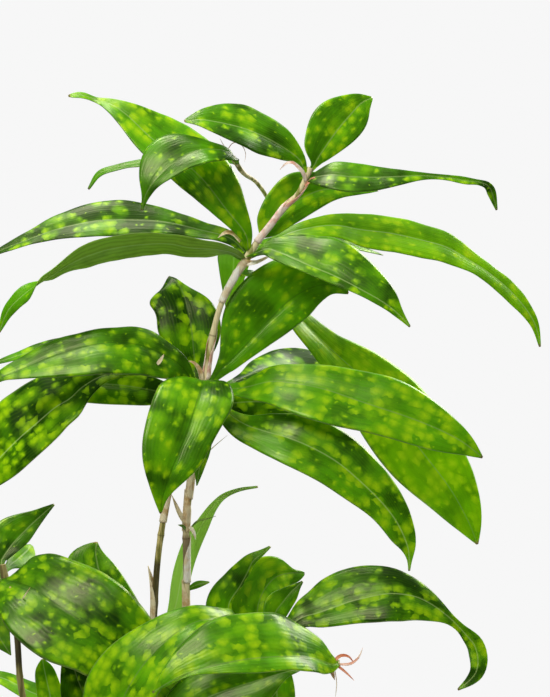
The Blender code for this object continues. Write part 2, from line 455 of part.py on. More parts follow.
def make_canes(collection, cutters, material):
    """Each cane with its twigs joined on, and a wider copy of its foot that will bore the soil."""
    routes = {}
    for name, points in CANES.items():
        path = smooth_path(cane_knots(points), CANE_SPACING)
        routes[name] = path
        cane = tube_object(name, path, material, collection)
        for index, twig_points in enumerate(TWIGS.get(name, [])):
            twig_path = smooth_path(cane_knots(twig_points), CANE_SPACING)
            routes[(name, index)] = twig_path
            twig = tube_object(name + "_twig", twig_path, material, cutters)
            boolean(cane, twig, "UNION")
            bpy.data.objects.remove(twig, do_unlink=True)
    return routes


def seat_on_cane(path, height):
    """The cane's middle, direction and radius at a height above the pot's underside."""
    for (x0, y0, z0, r0), (x1, y1, z1, r1) in zip(path, path[1:]):
        if z0 <= height <= z1:
            share = (height - z0) / (z1 - z0)
            low = Vector((x0, y0, z0))
            high = Vector((x1, y1, z1))
            return low.lerp(high, share), (high - low).normalized(), r0 + (r1 - r0) * share
    raise ValueError("no cane at this height")


def leaf_route(leaf, routes):
    """The leaf's midrib knots, from just off the cane's surface to the tip, with any seen half widths."""
    key = (leaf["cane"], leaf["twig"]) if "twig" in leaf else leaf["cane"]
    middle, along, radius = seat_on_cane(routes[key], leaf["seat"] * MM)
    knots = [[*place(*point[:3]), *(reach * MM for reach in point[3:])] for point in leaf["spine"]]
    first = (Vector(knots[0][:3]) - middle).normalized()
    outward = (first - along * first.dot(along)).normalized()
    lean = math.sqrt(max(0.0, 1.0 - first.dot(outward) ** 2))
    start = middle + outward * (radius + SEAT_GAP + BLADE_THICKNESS * lean)
    return [[*start] + [PETIOLE_HALF_WIDTH] * (len(knots[0]) - 3)] + knots


def even_points(knots, count):
    """Shares, points, directions and seen half widths along the midrib, a little closer at both ends."""
    fine = smooth_path(knots, ROUTE_SPACING)
    lengths = [0.0]
    for a, b in zip(fine, fine[1:]):
        lengths.append(lengths[-1] + math.dist(a[:3], b[:3]))
    spots = []
    for i in range(count + 1):
        crowded = (1 - math.cos(math.pi * i / count)) / 2
        share = (1 - END_CROWDING) * i / count + END_CROWDING * crowded
        wanted = share * lengths[-1]
        k = next((n for n in range(len(lengths) - 1) if lengths[n + 1] >= wanted), len(lengths) - 2)
        part = (wanted - lengths[k]) / (lengths[k + 1] - lengths[k])
        here = [a + (b - a) * part for a, b in zip(fine[k], fine[k + 1])]
        ahead = Vector(fine[min(k + 2, len(fine) - 1)][:3]) - Vector(fine[max(k - 1, 0)][:3])
        spots.append((share, Vector(here[:3]), ahead.normalized(), here[3:]))
    return spots


def half_width(share, leaf):
    """Half the blade's width: a narrow stalk, widest near the middle, and a drawn-out tip."""
    swell = math.sin(math.pi * share ** (math.log(0.5) / math.log(WIDEST)))
    blade = 0.5 * leaf["width"] * MM * max(swell, 0.0)
    stalk = PETIOLE_HALF_WIDTH + (TIP_HALF_WIDTH - PETIOLE_HALF_WIDTH) * share
    return math.hypot(blade, stalk)


def blade_reach(seen, here, along, side, lift):
    """How far the blade reaches left and right of its midrib to show the half widths that are seen."""
    middle = seen_at(here)
    travel = (seen_at(here + along * MM) - middle).normalized()
    across = Vector((travel.y, -travel.x))
    left, right = seen
    left_share = (middle - seen_at(here + (lift - side) * MM)).dot(across) / MM
    right_share = (seen_at(here + (lift + side) * MM) - middle).dot(across) / MM
    if left_share + right_share < 0:
        left, right = right, left
    left_half = max(left, TIP_HALF_WIDTH) / max(abs(left_share), LEAST_SHARE_SEEN)
    right_half = max(right, TIP_HALF_WIDTH) / max(abs(right_share), LEAST_SHARE_SEEN)
    return left_half, right_half


def face_direction(looks, share):
    """The way the upper face looks, part of the way along the leaf."""
    place_in_list = share * (len(looks) - 1)
    i = min(int(place_in_list), len(looks) - 2)
    t = place_in_list - i
    t = t * t * (3 - 2 * t)
    turn = math.radians(looks[i][0] + (looks[i + 1][0] - looks[i][0]) * t)
    rise = math.radians(looks[i][1] + (looks[i + 1][1] - looks[i][1]) * t)
    return Vector((math.sin(turn) * math.cos(rise), -math.cos(turn) * math.cos(rise), math.sin(rise)))


def make_leaf(name, leaf, routes, collection, material):
    """An arched blade, folded along its midrib, with edges that turn down a little."""
    small = leaf.get("width", BROAD_BLADE) < BROAD_BLADE
    rows = leaf.get("rows", SMALL_BLADE_ROWS if small else BLADE_ROWS)
    fold = math.tan(math.radians(leaf.get("fold", FOLD)))
    droop = leaf.get("droop", EDGE_DROOP)
    spots = even_points(leaf_route(leaf, routes), rows)
    shell = bmesh.new()
    bmesh.ops.create_grid(shell, x_segments=BLADE_COLUMNS, y_segments=rows, size=1.0)
    shell.verts.ensure_lookup_table()
    for i, (share, here, along, seen) in enumerate(spots):
        facing = face_direction(leaf["looks"], share)
        up = (facing - along * facing.dot(along)).normalized()
        side = along.cross(up)
        if seen:
            halves = blade_reach(seen, here, along, side, up * (fold - droop))
        else:
            halves = [half_width(share, leaf)] * 2
        for j in range(BLADE_COLUMNS + 1):
            across = 2 * j / BLADE_COLUMNS - 1
            half = halves[0] if across < 0 else halves[1]
            rise = fold * abs(across) - droop * across * across
            corner = here + side * (across * half) + up * (rise * half)
            shell.verts[i * (BLADE_COLUMNS + 1) + j].co = corner
    bmesh.ops.triangulate(shell, faces=shell.faces)
    mesh = bpy.data.meshes.new(name)
    shell.to_mesh(mesh)
    shell.free()
    piece = new_object(name, mesh, material, collection)
    thicken = piece.modifiers.new("Thickness", "SOLIDIFY")
    thicken.thickness = BLADE_THICKNESS
    thicken.offset = 0.0
    return piece


def turned(name, profile, material, collection):
    """A solid of revolution from its profile at +X, top to bottom on the outer side."""
    mesh = bpy.data.meshes.new(name)
    mesh.from_pydata([(x, 0.0, z) for x, z in profile], [(i, i + 1) for i in range(len(profile) - 1)], [])
    piece = new_object(name, mesh, material, collection)
    spin = piece.modifiers.new("Turn", "SCREW")
    spin.steps = ROUND_STEPS
    spin.render_steps = ROUND_STEPS
    spin.use_merge_vertices = True
    spin.merge_threshold = WELD
    return piece


def pot_inner_radius(height):
    """The inside wall's radius at a height above the underside."""
    top = POT_RIM_RADIUS - POT_WALL
    bottom = POT_FOOT_RADIUS - POT_WALL / 2
    return bottom + (top - bottom) * (height - POT_FLOOR) / (POT_HEIGHT - POT_FLOOR)


def make_pot(collection, cutters, material):
    """A tapered pot with a thick rim band, a flat underside and a ring of drain holes."""
    band_foot = POT_HEIGHT - RIM_BAND
    profile = [
        (0.0, POT_FLOOR),
        (pot_inner_radius(POT_FLOOR), POT_FLOOR),
        (pot_inner_radius(POT_HEIGHT - POT_EDGE), POT_HEIGHT - POT_EDGE),
        (pot_inner_radius(POT_HEIGHT) + POT_EDGE, POT_HEIGHT),
        (POT_RIM_RADIUS - POT_EDGE, POT_HEIGHT),
        (POT_RIM_RADIUS, POT_HEIGHT - POT_EDGE),
        (POT_RIM_RADIUS - POT_EDGE, band_foot + POT_EDGE),
        (POT_RIM_RADIUS - 2 * POT_EDGE, band_foot),
        (pot_inner_radius(band_foot) + POT_BODY_WALL, band_foot),
        (POT_FOOT_RADIUS + POT_EDGE, POT_EDGE),
        (POT_FOOT_RADIUS, 0.0),
        (0.0, 0.0)]
    pot = turned("pot", profile, material, collection)
    for i in range(DRAIN_COUNT):
        turn = 2 * math.pi * (i + 0.5) / DRAIN_COUNT
        middle = (DRAIN_CIRCLE * math.cos(turn), DRAIN_CIRCLE * math.sin(turn), POT_FLOOR / 2)
        bpy.ops.mesh.primitive_cylinder_add(
            vertices=DRAIN_SIDES, radius=DRAIN_RADIUS, depth=3 * POT_FLOOR, location=middle)
        drill = bpy.context.active_object
        drill.name = "drain_drill"
        hide_cutter(drill, cutters)
        boolean(pot, drill, "DIFFERENCE")
        bpy.data.objects.remove(drill, do_unlink=True)


def hide_cutter(piece, cutters):
    for collection in list(piece.users_collection):
        collection.objects.unlink(piece)
    cutters.objects.link(piece)
    piece.hide_render = True
    piece.display_type = "WIRE"


def make_soil(collection, cutters, material, routes):
    """The mix that fills the pot, uneven on top, with a plain hole round each cane's foot."""
    low = POT_FLOOR + CLEARANCE
    shoulder = SOIL_LEVEL - SOIL_SHOULDER
    outer = pot_inner_radius(shoulder) - CLEARANCE
    profile = [(0.0, SOIL_LEVEL)] + [(outer * share, SOIL_LEVEL) for share in SOIL_RINGS]
    profile += [(outer, shoulder), (pot_inner_radius(low) - CLEARANCE, low), (0.0, low)]
    soil = turned("soil", profile, material, collection)
    graph = bpy.context.evaluated_depsgraph_get()
    mesh = bpy.data.meshes.new_from_object(soil.evaluated_get(graph))
    soil.modifiers.clear()
    soil.data = mesh
    for vertex in mesh.vertices:
        x, y, z = vertex.co
        if z > SOIL_LEVEL - SOIL_SHOULDER / 2:
            swells = [size * math.sin(over * x + back * y + start)
                      for size, over, back, start in SOIL_RIPPLES]
            vertex.co.z += SOIL_RELIEF * sum(swells)
    for name in CANES:
        foot = [point for point in routes[name] if point[2] < SOIL_LEVEL + HOLE_MARGIN]
        drill = tube_object(name + "_hole", foot, material, cutters, extra=CLEARANCE, sink=CLEARANCE)
        hide_cutter(drill, cutters)
        boolean(soil, drill, "DIFFERENCE")
        bpy.data.objects.remove(drill, do_unlink=True)


def build():
    clear_scene()
    plant = make_collection("potted_gold_dust_dracaena")
    cutters = make_collection("cutters")
    clay = make_material("fired_clay", (0.46, 0.19, 0.10), 0.85)
    mix = make_material("potting_mix", (0.05, 0.032, 0.02), 0.95)
    bark = make_material("cane_bark", (0.45, 0.36, 0.17), 0.6)
    green = make_material("leaf_blade", (0.12, 0.30, 0.02), 0.35)
    routes = make_canes(plant, cutters, bark)
    make_pot(plant, cutters, clay)
    make_soil(plant, cutters, mix, routes)
    for name, leaf in LEAVES.items():
        make_leaf(name, leaf, routes, plant, green)


build()
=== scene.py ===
"""The looks of a potted gold dust dracaena, dressed over its solid parts.

Metres, +Z up. The plant's front looks along -Y. Each leaf is drawn again from the same measures as its
solid, finer, with pleats, a rippled margin, a midrib and gold spots.
"""
import functools
import math
import random

import bmesh
import bpy
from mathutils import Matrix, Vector


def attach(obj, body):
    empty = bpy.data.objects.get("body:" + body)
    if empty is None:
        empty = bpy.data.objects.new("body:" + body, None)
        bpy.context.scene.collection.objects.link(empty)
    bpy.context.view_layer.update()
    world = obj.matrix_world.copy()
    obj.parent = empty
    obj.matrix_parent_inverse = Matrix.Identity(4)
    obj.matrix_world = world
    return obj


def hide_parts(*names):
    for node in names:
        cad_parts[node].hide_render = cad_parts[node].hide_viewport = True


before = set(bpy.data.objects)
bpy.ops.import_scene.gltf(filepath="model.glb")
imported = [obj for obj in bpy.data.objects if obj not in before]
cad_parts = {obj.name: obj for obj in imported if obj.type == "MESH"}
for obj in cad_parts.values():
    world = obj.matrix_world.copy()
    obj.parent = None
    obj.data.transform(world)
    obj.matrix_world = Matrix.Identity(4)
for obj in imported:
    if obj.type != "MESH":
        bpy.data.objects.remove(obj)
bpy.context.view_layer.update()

MM = 0.001

# The pot and the soil, as in the solids
POT_HEIGHT = 0.150
POT_RIM_RADIUS = 0.088
POT_WALL = 0.006
POT_BODY_WALL = 0.005
POT_EDGE = 0.0015
RIM_BAND = 0.026
POT_FOOT_RADIUS = 0.060
POT_FLOOR = 0.009
DRAIN_RADIUS = 0.005
DRAIN_CIRCLE = 0.034
DRAIN_COUNT = 4
DRAIN_FACETS = 32
POT_FACETS = 120
POT_WELD = 0.00001
SOFT_EDGE = 0.0007
SOIL_LEVEL = 0.135
SOIL_RELIEF = 0.0016
SOIL_RIPPLES = [(0.5, 90, 110, 1.3), (0.5, 90, -110, 1.3), (0.6, 230, -170, 0.0)]

# The leaves and canes, finer than in the solids
BLADE_THICKNESS = 0.0006
PETIOLE_HALF_WIDTH = 0.0013
TIP_HALF_WIDTH = 0.0004
BLADE_ROWS = 72
BLADE_COLUMNS = 28
LEAST_SHARE_SEEN = 0.35
SEAT_GAP = -0.0006
ROUTE_SPACING = 0.002
END_CROWDING = 0.35
CREASE = 0.05
EASE_ROWS = 3
CANE_SPACING = 0.002
CANE_SIDES = 20
JOINT_SPACING = 0.021
JOINT_SWELL = 0.10
WELD = 0.000002

# The plant is measured from one spot in front of it and a little above, against a picture plane that faces
# that spot. A point is written as the millimetres across and high at which it is seen there, and its
# millimetres in front of the upright plane through the pot's axis.
SIGHT_DISTANCE = 1.150
SIGHT_RISE = math.radians(8.0)
SIGHT_AIM = Vector((0.087, 0.0, 0.430))
SIGHT_AXIS = Vector((0.0, math.cos(SIGHT_RISE), -math.sin(SIGHT_RISE)))
SIGHT_UP = Vector((0.0, math.sin(SIGHT_RISE), math.cos(SIGHT_RISE)))
SIGHT = SIGHT_AIM - SIGHT_DISTANCE * SIGHT_AXIS
# The photograph's rows, and the metres on the picture plane that each of them shows
PHOTO_ROWS = 697
PHOTO_SCALE = 0.0006

# Each cane: points from its foot in the soil to its growing tip, and the radius there in millimetres
CANES = {
    "cane_main": [(29.3, 113, 0, 2.4), (30, 148, 0, 2.3), (32.5, 208.5, 0, 2.2), (34, 279.5, 0, 2.1),
        (33.7, 322.5, 0, 2.0), (36, 346.5, 0, 2.0), (40.3, 379, 0, 2.0), (45, 405.3, 0, 2.5),
        (46.5, 420, 0, 1.9), (50, 440, 0, 1.8), (56, 460, 0, 1.7), (66, 478, 0, 1.8), (72, 487, 0, 2.4),
        (77, 495, 0, 1.7), (85, 505, 0, 1.5), (92, 514, 0, 1.4), (100, 522, 0, 1.4), (104.2, 529.2, 0, 1.6),
        (108.3, 538.4, 0, 2.0)],
    "cane_second": [(5.3, 113, 10, 2.3), (6, 148, 10, 2.2), (10, 208.5, 10, 2.1), (13.6, 255.6, 10, 2.0),
        (16.2, 298.5, 10, 1.9), (20, 327.3, 10, 1.8), (25.6, 356.4, 10, 1.8), (34.3, 385.7, 10, 1.8),
        (40, 402.4, 9, 2.2), (42, 411.2, 9, 2.2)],
    "cane_left": [(-48.5, 113, 0, 2.3), (-50, 148, 0, 2.2), (-59, 194.5, 0, 2.1), (-65.6, 229, 0, 2.0),
        (-67.8, 257.4, 0, 1.9), (-72, 282.2, 0, 1.9), (-75.3, 293.7, 0, 2.4), (-76.4, 300.4, 0, 1.8)],
    "cane_front": [(51.4, 113, 24, 2.3), (51.4, 148, 24, 2.2), (56, 175.7, 24, 2.1), (65.6, 208.5, 22, 2.0),
        (73.3, 236.6, 16, 1.9), (78.2, 253.7, 12, 2.3), (80, 262.2, 11, 1.8)]}
TWIGS = {
    "cane_main": [[(76, 493.5, 0, 1.4), (80, 497.5, -13, 1.3), (86, 506, -25, 1.2), (83.5, 518, -24, 1.2),
        (76, 529.5, -9, 1.2), (68, 535.3, 3, 1.3), (61.7, 544.5, 11, 1.7)]],
    "cane_front": [[(60.5, 191.6, 23, 1.9), (68, 204, 32, 1.7), (77, 218, 42, 1.6), (88, 231, 50, 1.6),
        (100, 238, 55, 1.6), (112, 239.2, 58, 1.6), (120, 240.2, 58, 1.9), (126, 241.2, 58, 2.0)]]}

# Each leaf: the cane and true height it grows from, its tone, the way its upper face looks at even steps
# along it, as degrees from the front toward the right, and up, and the points of its midrib. A midrib point
# may carry how far the blade is seen to reach to its left and right, or one reach for both. Otherwise the
# leaf has one greatest width. The tone says how much gold the leaf carries, how much painted light is in
# its green, from painted shade (0) to a painted lit green (1) and on to a painted pale sheen, and whether
# its midrib is a dark line of painted shade in its crease (0) or raised and pale (1). Some leaves are
# flagged to take brighter, yellower finishes that let more light through: painted backlight, as if lit from
# behind.
LEAVES = {
    # The crown at the top of the main cane
    "leaf_crown_upright": dict(cane="cane_main", seat=536, tone=(0.9, 0.8, 0.8),
        looks=[(20, 5), (20, 20), (20, 30)],
        spine=[(111, 541, -4, 2.5), (113.4, 545.5, -5, 11.5, 5.5), (123.6, 560, -12, 18, 11.6),
        (132, 570, -19, 15, 12), (139, 577.3, -24, 7, 7.5), (145.4, 580.5, -28, 0.6)]),
    "leaf_crown_left": dict(cane="cane_main", seat=534, tone=(1.1, 0.55, 0.75),
        looks=[(-30, 20), (-5, 40), (0, 45), (0, 50)],
        spine=[(102, 543, 2, 3, 3.5), (91, 551, 6, 7.5, 11), (78, 558, 10, 10.3, 13),
        (66, 562.5, 14, 10.2, 14.3), (53, 565.5, 17, 7.3, 11.5), (43, 567, 19, 4.3, 6.8),
        (32.5, 566.5, 20, 0.6)]),
    "leaf_crown_right": dict(cane="cane_main", seat=532, tone=(0.55, 0.4, 0.6),
        looks=[(0, 45), (0, 38), (0, 40), (0, 45), (0, 45), (10, 20)],
        spine=[(120, 534, 6, 8, 7.8), (132, 533, 8, 8.6, 9), (146, 532.5, 8, 7.5, 7.8),
        (160, 533, 8, 5, 5.4), (176, 533.5, 6, 1.9), (190, 532.5, 5, 1.5, 1.6), (201, 530.5, 4, 2.4, 2.2),
        (210, 529.5, 3, 1), (216, 526, 2, 3), (220, 513, 0, 0.6)]),
    # The side twig
    "leaf_twig_front": dict(cane="cane_main", twig=0, seat=541, tone=(0.35, 0.45, 0.4),
        looks=[(-10, 60), (-10, 45), (-10, 30), (-20, 10)],
        spine=[(62.5, 545, 19, 1.5), (57, 548.5, 22, 4.5, 2.5), (50, 549.3, 25, 6.5, 5),
        (43, 549, 28, 8, 9.5), (33, 545.5, 31, 7.8, 17), (22, 538, 34, 7, 17.5), (14, 529.5, 36, 3.8, 11),
        (9.5, 522, 36, 2.5, 2.4), (7, 513, 35, 0.6)]),
    "leaf_twig_back": dict(cane="cane_main", twig=0, seat=536, tone=(0.0, 0.8, 0.6),
        looks=[(0, 60), (0, 60), (0, 60), (-30, 40)],
        spine=[(63.5, 541, -4, 1.2), (58, 541.5, -14, 1.8), (45, 542, -22, 3), (24, 541.5, -26, 2.6),
        (5, 541, -29, 2, 2.2), (-9, 538.3, -29, 1.8), (-18.5, 534.5, -29, 1.5), (-25, 525.5, -29, 0.6)]),
    # The upper whorl
    "leaf_upper_tall": dict(cane="cane_main", seat=488, tone=(1.7, 0.95, 0.7),
        looks=[(10, 10), (20, 20), (25, 25), (25, 30), (10, 40), (0, 45)],
        spine=[(69, 499, 5, 4.5), (58, 513, 8, 7, 14), (40, 535, 9, 12.7, 20), (14, 555, 5, 10, 19),
        (-2, 570, 0, 7, 9), (-12, 576.5, -4, 3.9, 3.5), (-21, 579.3, -8, 1), (-29, 582, -8, 2.4),
        (-37, 581.5, -7, 0.6)]),
    "leaf_upper_upright": dict(cane="cane_main", seat=497, tone=(1.2, 0.9, 0.6),
        looks=[(10, 10), (10, 15), (5, 30), (0, 45)],
        spine=[(81, 499.5, -3.5, 6.5, 4), (83.4, 502.3, -5, 9.6, 6.6), (92.4, 513, -8, 13.8, 10.8),
        (103.2, 520.3, -12, 16.8, 11), (115, 525, -17, 12, 9), (127, 525.7, -21, 6, 5),
        (139, 525, -25, 2.5), (149, 525, -27, 0.6)]),
    "leaf_upper_left": dict(cane="cane_main", seat=486, tone=(0.75, 0.2, 0.6),
        looks=[(0, 55), (0, 48), (0, 45), (0, 45), (0, 50)],
        spine=[(60, 496, -7, 4, 4.5), (42, 501, -11, 5, 5.5), (22, 505.5, -14, 7, 8),
        (2, 507, -15, 8.5, 11.5), (-18, 506.5, -14, 9, 12), (-33, 504, -13, 7.5, 10.5),
        (-48, 500, -12, 5, 8), (-63, 494.5, -10, 3, 4.2), (-78, 488.5, -9, 1.8, 1.9), (-86, 484, -8, 0.6)]),
    "leaf_upper_left_low": dict(cane="cane_main", seat=483, tone=(0.4, 1.0, 0.7),
        looks=[(0, 100), (0, 125), (0, 128), (0, 128), (0, 122), (0, 105), (0, 50), (0, 35)],
        spine=[(62, 487.5, 3, 3), (52, 489.5, 6, 4.1), (37, 490.5, 9, 6), (22, 493, 13, 6),
        (2, 492, 17, 6.8), (-14, 489.3, 19, 7.3), (-28, 484.6, 20, 6.5), (-38, 479.6, 20, 4.2),
        (-48, 473, 20, 3), (-58, 466.5, 20, 3.6), (-68, 458.3, 20, 4.5), (-74, 451, 19, 3.2),
        (-78.5, 439.5, 18, 0.6)]),
    "leaf_upper_right_front": dict(cane="cane_main", seat=487, tone=(0.85, 0.55, 0.9),
        looks=[(0, 50), (0, 42), (0, 36), (0, 30)],
        spine=[(76.5, 487.5, 10, 1.6), (82, 489.5, 11, 5, 3.5), (90, 487.3, 16, 13, 5.4),
        (108, 479.5, 25, 21, 5), (123.6, 473, 30, 21, 4.8), (139, 465, 34, 17, 3.5),
        (152.4, 457.3, 36, 10.5, 3), (162, 449.5, 37, 3, 2), (168, 443, 37, 0.6)]),
    "leaf_upper_right_long": dict(cane="cane_main", seat=486, tone=(0.7, 0.85, 0.8), painted_backlight=True,
        looks=[(0, 50), (0, 50), (0, 48), (0, 46), (0, 50), (10, 45)],
        spine=[(80, 489, -12, 1.6), (89, 496, -16, 3.5, 3), (102, 501, -18, 4, 6), (122, 503.7, -23, 7.2),
        (139, 501, -26, 10.2, 10), (156, 499, -28, 10.6), (173, 495.3, -29, 10), (189.6, 490.7, -30, 9),
        (203, 483, -30, 6.2), (213.6, 476.3, -30, 4.6), (225.6, 466.7, -30, 5.5), (236.4, 455, -30, 4.4),
        (243, 444, -30, 2.4), (246, 431, -30, 0.6)]),
    "leaf_upper_back_right": dict(cane="cane_main", seat=484, width=22, tone=(0.9, 0.6, 0.75),
        looks=[(0, 50), (0, 60), (0, 65)],
        spine=[(80, 490, -24), (102, 493, -52), (130, 492, -66), (152, 486, -74)]),
    "leaf_upper_back_hanging": dict(cane="cane_main", seat=482, width=20, tone=(0.2, 0.6, 0.8), painted_backlight=True,
        looks=[(0, 110), (0, 150), (0, 175), (0, 180)],
        spine=[(64, 485, -10), (62.5, 486, -26), (62, 479, -40), (60.5, 466, -46), (58, 451, -47)]),
    "leaf_upper_right_drooping": dict(cane="cane_main", seat=475, tone=(1.8, 1.0, 0.4), painted_backlight=True,
        looks=[(60, 60), (40, 40), (20, 22), (10, 12), (0, 5)],
        spine=[(74, 474, -24, 1.6), (84, 466, -36, 4), (95, 457, -44, 7), (103.5, 446, -49, 6.5, 7.8),
        (119.6, 430.3, -54, 9, 10.2), (138, 413.5, -57, 17.5), (154.4, 395.6, -59, 22.5),
        (173.7, 370, -60, 23), (191.3, 347, -60, 17.5), (202.5, 327.2, -59, 9.5),
        (208.5, 312.5, -58, 0.6)]),
    # The middle whorl
    "leaf_middle_upright": dict(cane="cane_main", seat=409, tone=(0.6, 0.85, 0.05),
        looks=[(10, 10), (0, 6), (0, 6), (0, 14)],
        spine=[(55, 418, 3, 4, 5), (60, 422.5, 1, 9, 6), (72, 435, -2, 22.5, 9.5), (84, 448, -5, 27, 13.5),
        (97, 460, -9, 26, 15), (110, 467, -13, 20, 11), (122, 468, -16, 9, 6), (131, 463, -18, 0.6)]),
    "leaf_middle_back": dict(cane="cane_main", seat=407, tone=(1.3, 0.1, 0.3),
        looks=[(0, 10), (0, 10), (0, 15), (0, 30)],
        spine=[(40, 418, -8, 5), (38.5, 426, -10, 13, 12), (37, 441, -14, 20, 18),
        (34.5, 455, -19, 19.5, 14.5), (31, 465, -25, 21, 5), (27, 471, -30, 14, 1.2), (23, 473, -34, 0.6)]),
    "leaf_middle_left": dict(cane="cane_second", seat=409, droop=0.3, tone=(0.8, 0.5, 0.0),
        looks=[(-20, 45), (-10, 42), (0, 40), (0, 42), (0, 45)],
        spine=[(30, 420, 13, 10, 6), (22, 425, 16, 13, 8.5), (7, 431.5, 22, 17, 11.8),
        (-8, 433.5, 26, 19, 9.6), (-22, 432, 29, 18, 9.7), (-38, 428, 31, 15.5, 9.5),
        (-53, 422.5, 33, 10.8, 9.2), (-68, 416, 35, 4.5, 6.7), (-78, 412, 36, 1.8, 4.2),
        (-90, 403, 36, 0.6)]),
    "leaf_middle_left_back": dict(cane="cane_main", seat=404, width=22, looks=[(0, 50), (0, 60), (0, 60)],
        spine=[(24, 422, -22), (-8, 431, -32), (-45, 431, -36), (-88, 419, -38)]),
    "leaf_middle_left_drooping": dict(cane="cane_second", seat=404, tone=(1.5, 0.15, 1.0),
        looks=[(-20, 50), (-30, 30), (-30, 20), (-20, 10)],
        spine=[(24, 413, 7, 2), (5, 417, 8, 3), (-15, 414, 9, 4, 9), (-28, 407, 10, 8.2, 15),
        (-36, 399.7, 11, 10.5, 19), (-45, 394.3, 12, 14, 22), (-57, 384, 13, 14.5, 24.5),
        (-66, 376.3, 14, 15, 25), (-78, 364.3, 14, 13.5, 24), (-92, 350, 13, 9, 16), (-104, 336, 12, 3, 5),
        (-109, 329, 11, 0.6)]),
    "leaf_middle_left_under": dict(cane="cane_main", seat=399, tone=(1.1, 0.2, 0.5),
        looks=[(0, 20), (0, 15), (0, 15)],
        spine=[(27, 402, -10, 5), (13, 405, -13, 9.5, 8), (-2, 407.5, -15, 11.5, 10),
        (-22, 409, -16, 12, 10), (-46, 408, -17, 8, 7), (-64, 405, -17, 0.6)]),
    "leaf_middle_front": dict(cane="cane_second", seat=403, tone=(0.8, 0.6, 0.0),
        looks=[(10, 80), (20, 60), (15, 30), (10, 10)],
        spine=[(42.5, 406, 17, 1), (43.7, 410, 24, 8), (43.5, 410, 33, 16), (41.6, 402.7, 44, 21.5, 24.5),
        (38.4, 393, 52, 20, 25.5), (34.4, 381, 59, 17, 25.6), (28, 365, 66, 15.5, 22.5),
        (23.5, 353.5, 69, 9.7, 16.2), (19.5, 341, 70, 3.4, 6), (18.3, 331, 70, 0.6)]),
    "leaf_middle_right": dict(cane="cane_main", seat=406, tone=(1.4, 1.0, 0.5),
        looks=[(0, 60), (0, 42), (0, 36), (0, 30), (0, 28)],
        spine=[(66, 406, 9, 4.5), (84, 410, 16, 9.5, 12.5), (96, 409.3, 20, 11.5, 16),
        (108, 407.5, 23, 14, 19), (120, 404.5, 25, 15.7, 20), (132, 400.3, 27, 18, 18.5),
        (150, 394.3, 30, 20, 16), (168, 388.3, 31, 18, 15), (186, 381, 32, 12, 13), (200, 373.5, 32, 7, 8),
        (211.5, 364.5, 32, 0.6)]),
    "leaf_middle_right_drooping": dict(cane="cane_main", seat=401, tone=(1.5, 0.7, 1.0),
        looks=[(10, 50), (10, 30), (10, 25), (10, 15), (0, 5)],
        spine=[(66, 386, 11, 5, 9), (80, 380.5, 21, 12.3, 11.5), (96, 376, 28, 15.5),
        (112, 369, 31, 18, 16), (126, 360.5, 33, 17.5, 15.6), (140, 348.5, 35, 16, 13.5),
        (152, 336.5, 36, 13.3, 10.6), (160.5, 325, 37, 9.5), (165.8, 313.5, 37, 6.5, 6.8),
        (167.3, 306.5, 37, 2.6, 1.6), (167.5, 296.5, 36, 0.6)]),
    "leaf_middle_right_back": dict(cane="cane_main", seat=404, tone=(0.8, 0.2, 0.7),
        looks=[(0, 50), (0, 50), (0, 55)],
        spine=[(61, 409, -14, 2), (70, 413, -30, 4, 3), (80, 417, -48, 7.4, 6), (92, 419.5, -62, 9.6, 8),
        (103, 419.5, -72, 11, 8), (120, 417, -80, 8, 6), (142, 411, -84, 0.6)]),
    "leaf_middle_right_under": dict(cane="cane_main", seat=396, width=22, tone=(0.9, 0.2, 0.7),
        looks=[(0, 20), (0, 20), (0, 30)],
        spine=[(58, 397, -8), (78, 398, -16), (102, 395, -22), (126, 392, -26)]),
    "leaf_middle_hanging": dict(cane="cane_main", seat=394, width=11, tone=(1.5, 0.7, 0.8),
        looks=[(20, 40), (20, 10), (20, 0)],
        spine=[(47, 388.5, 5), (44.3, 377, 7), (42, 361, 7), (40, 347.7, 6)]),
    # Low on the main cane
    "leaf_narrow_bright": dict(cane="cane_main", seat=244, tone=(0.0, 1.35, 0.9), painted_backlight=True,
        looks=[(-20, 0), (-20, 5), (-20, 10), (-20, 30), (-20, 40)],
        spine=[(25, 262, -10, 3), (28.5, 280, -13, 5), (32, 298, -15, 5.7), (36.5, 311, -16, 5.6),
        (41.5, 321, -17, 4.8), (46.5, 329.8, -18, 3.5), (51, 336.3, -19, 2.4), (57, 341.8, -20, 1.4),
        (66, 345.3, -21, 1), (76.8, 347, -21, 0.6)]),
    "leaf_narrow_small": dict(cane="cane_main", seat=282, width=4, looks=[(0, 20), (0, 30)],
        spine=[(40.8, 288.4, 2), (47.7, 289.8, 3)]),
    # The left cane
    "leaf_left_broad": dict(cane="cane_left", seat=289, tone=(0.9, 0.4, 0.0),
        looks=[(0, 50), (5, 34), (5, 28), (10, 20)],
        spine=[(-73.5, 290.6, 7, 13, 6), (-70, 290, 9, 17.5, 12), (-63, 288, 16, 23.5, 21),
        (-55, 284, 22, 26.5, 28), (-42, 275, 29, 31), (-30, 267, 33, 32, 31), (-18, 258.5, 35, 31, 26),
        (-4, 247.5, 35, 27, 23), (12, 235, 32, 19, 17), (26, 223, 28, 10), (36, 212, 26, 0.6)]),
    "leaf_left_upright": dict(cane="cane_left", seat=295, tone=(0.4, 0.45, 1.0),
        looks=[(0, 10), (0, 20), (0, 30), (10, 40)],
        spine=[(-77, 303, -5, 7, 2.5), (-71, 312, -10, 15, 5.5), (-65.5, 318, -15, 15, 6.2),
        (-60, 323.5, -19, 10.5, 4.8), (-54, 329, -22, 5.5, 3), (-45.5, 336.5, -26, 0.6)]),
    "leaf_left_back": dict(cane="cane_left", seat=292, painted_backlight=True, looks=[(20, 30), (20, 20), (20, 30)],
        spine=[(-72, 300, -12, 3), (-67, 304, -26, 7), (-63, 307.5, -38, 7, 7.5), (-60.5, 310, -46, 4, 4.5),
        (-59, 312, -50, 0.6)]),
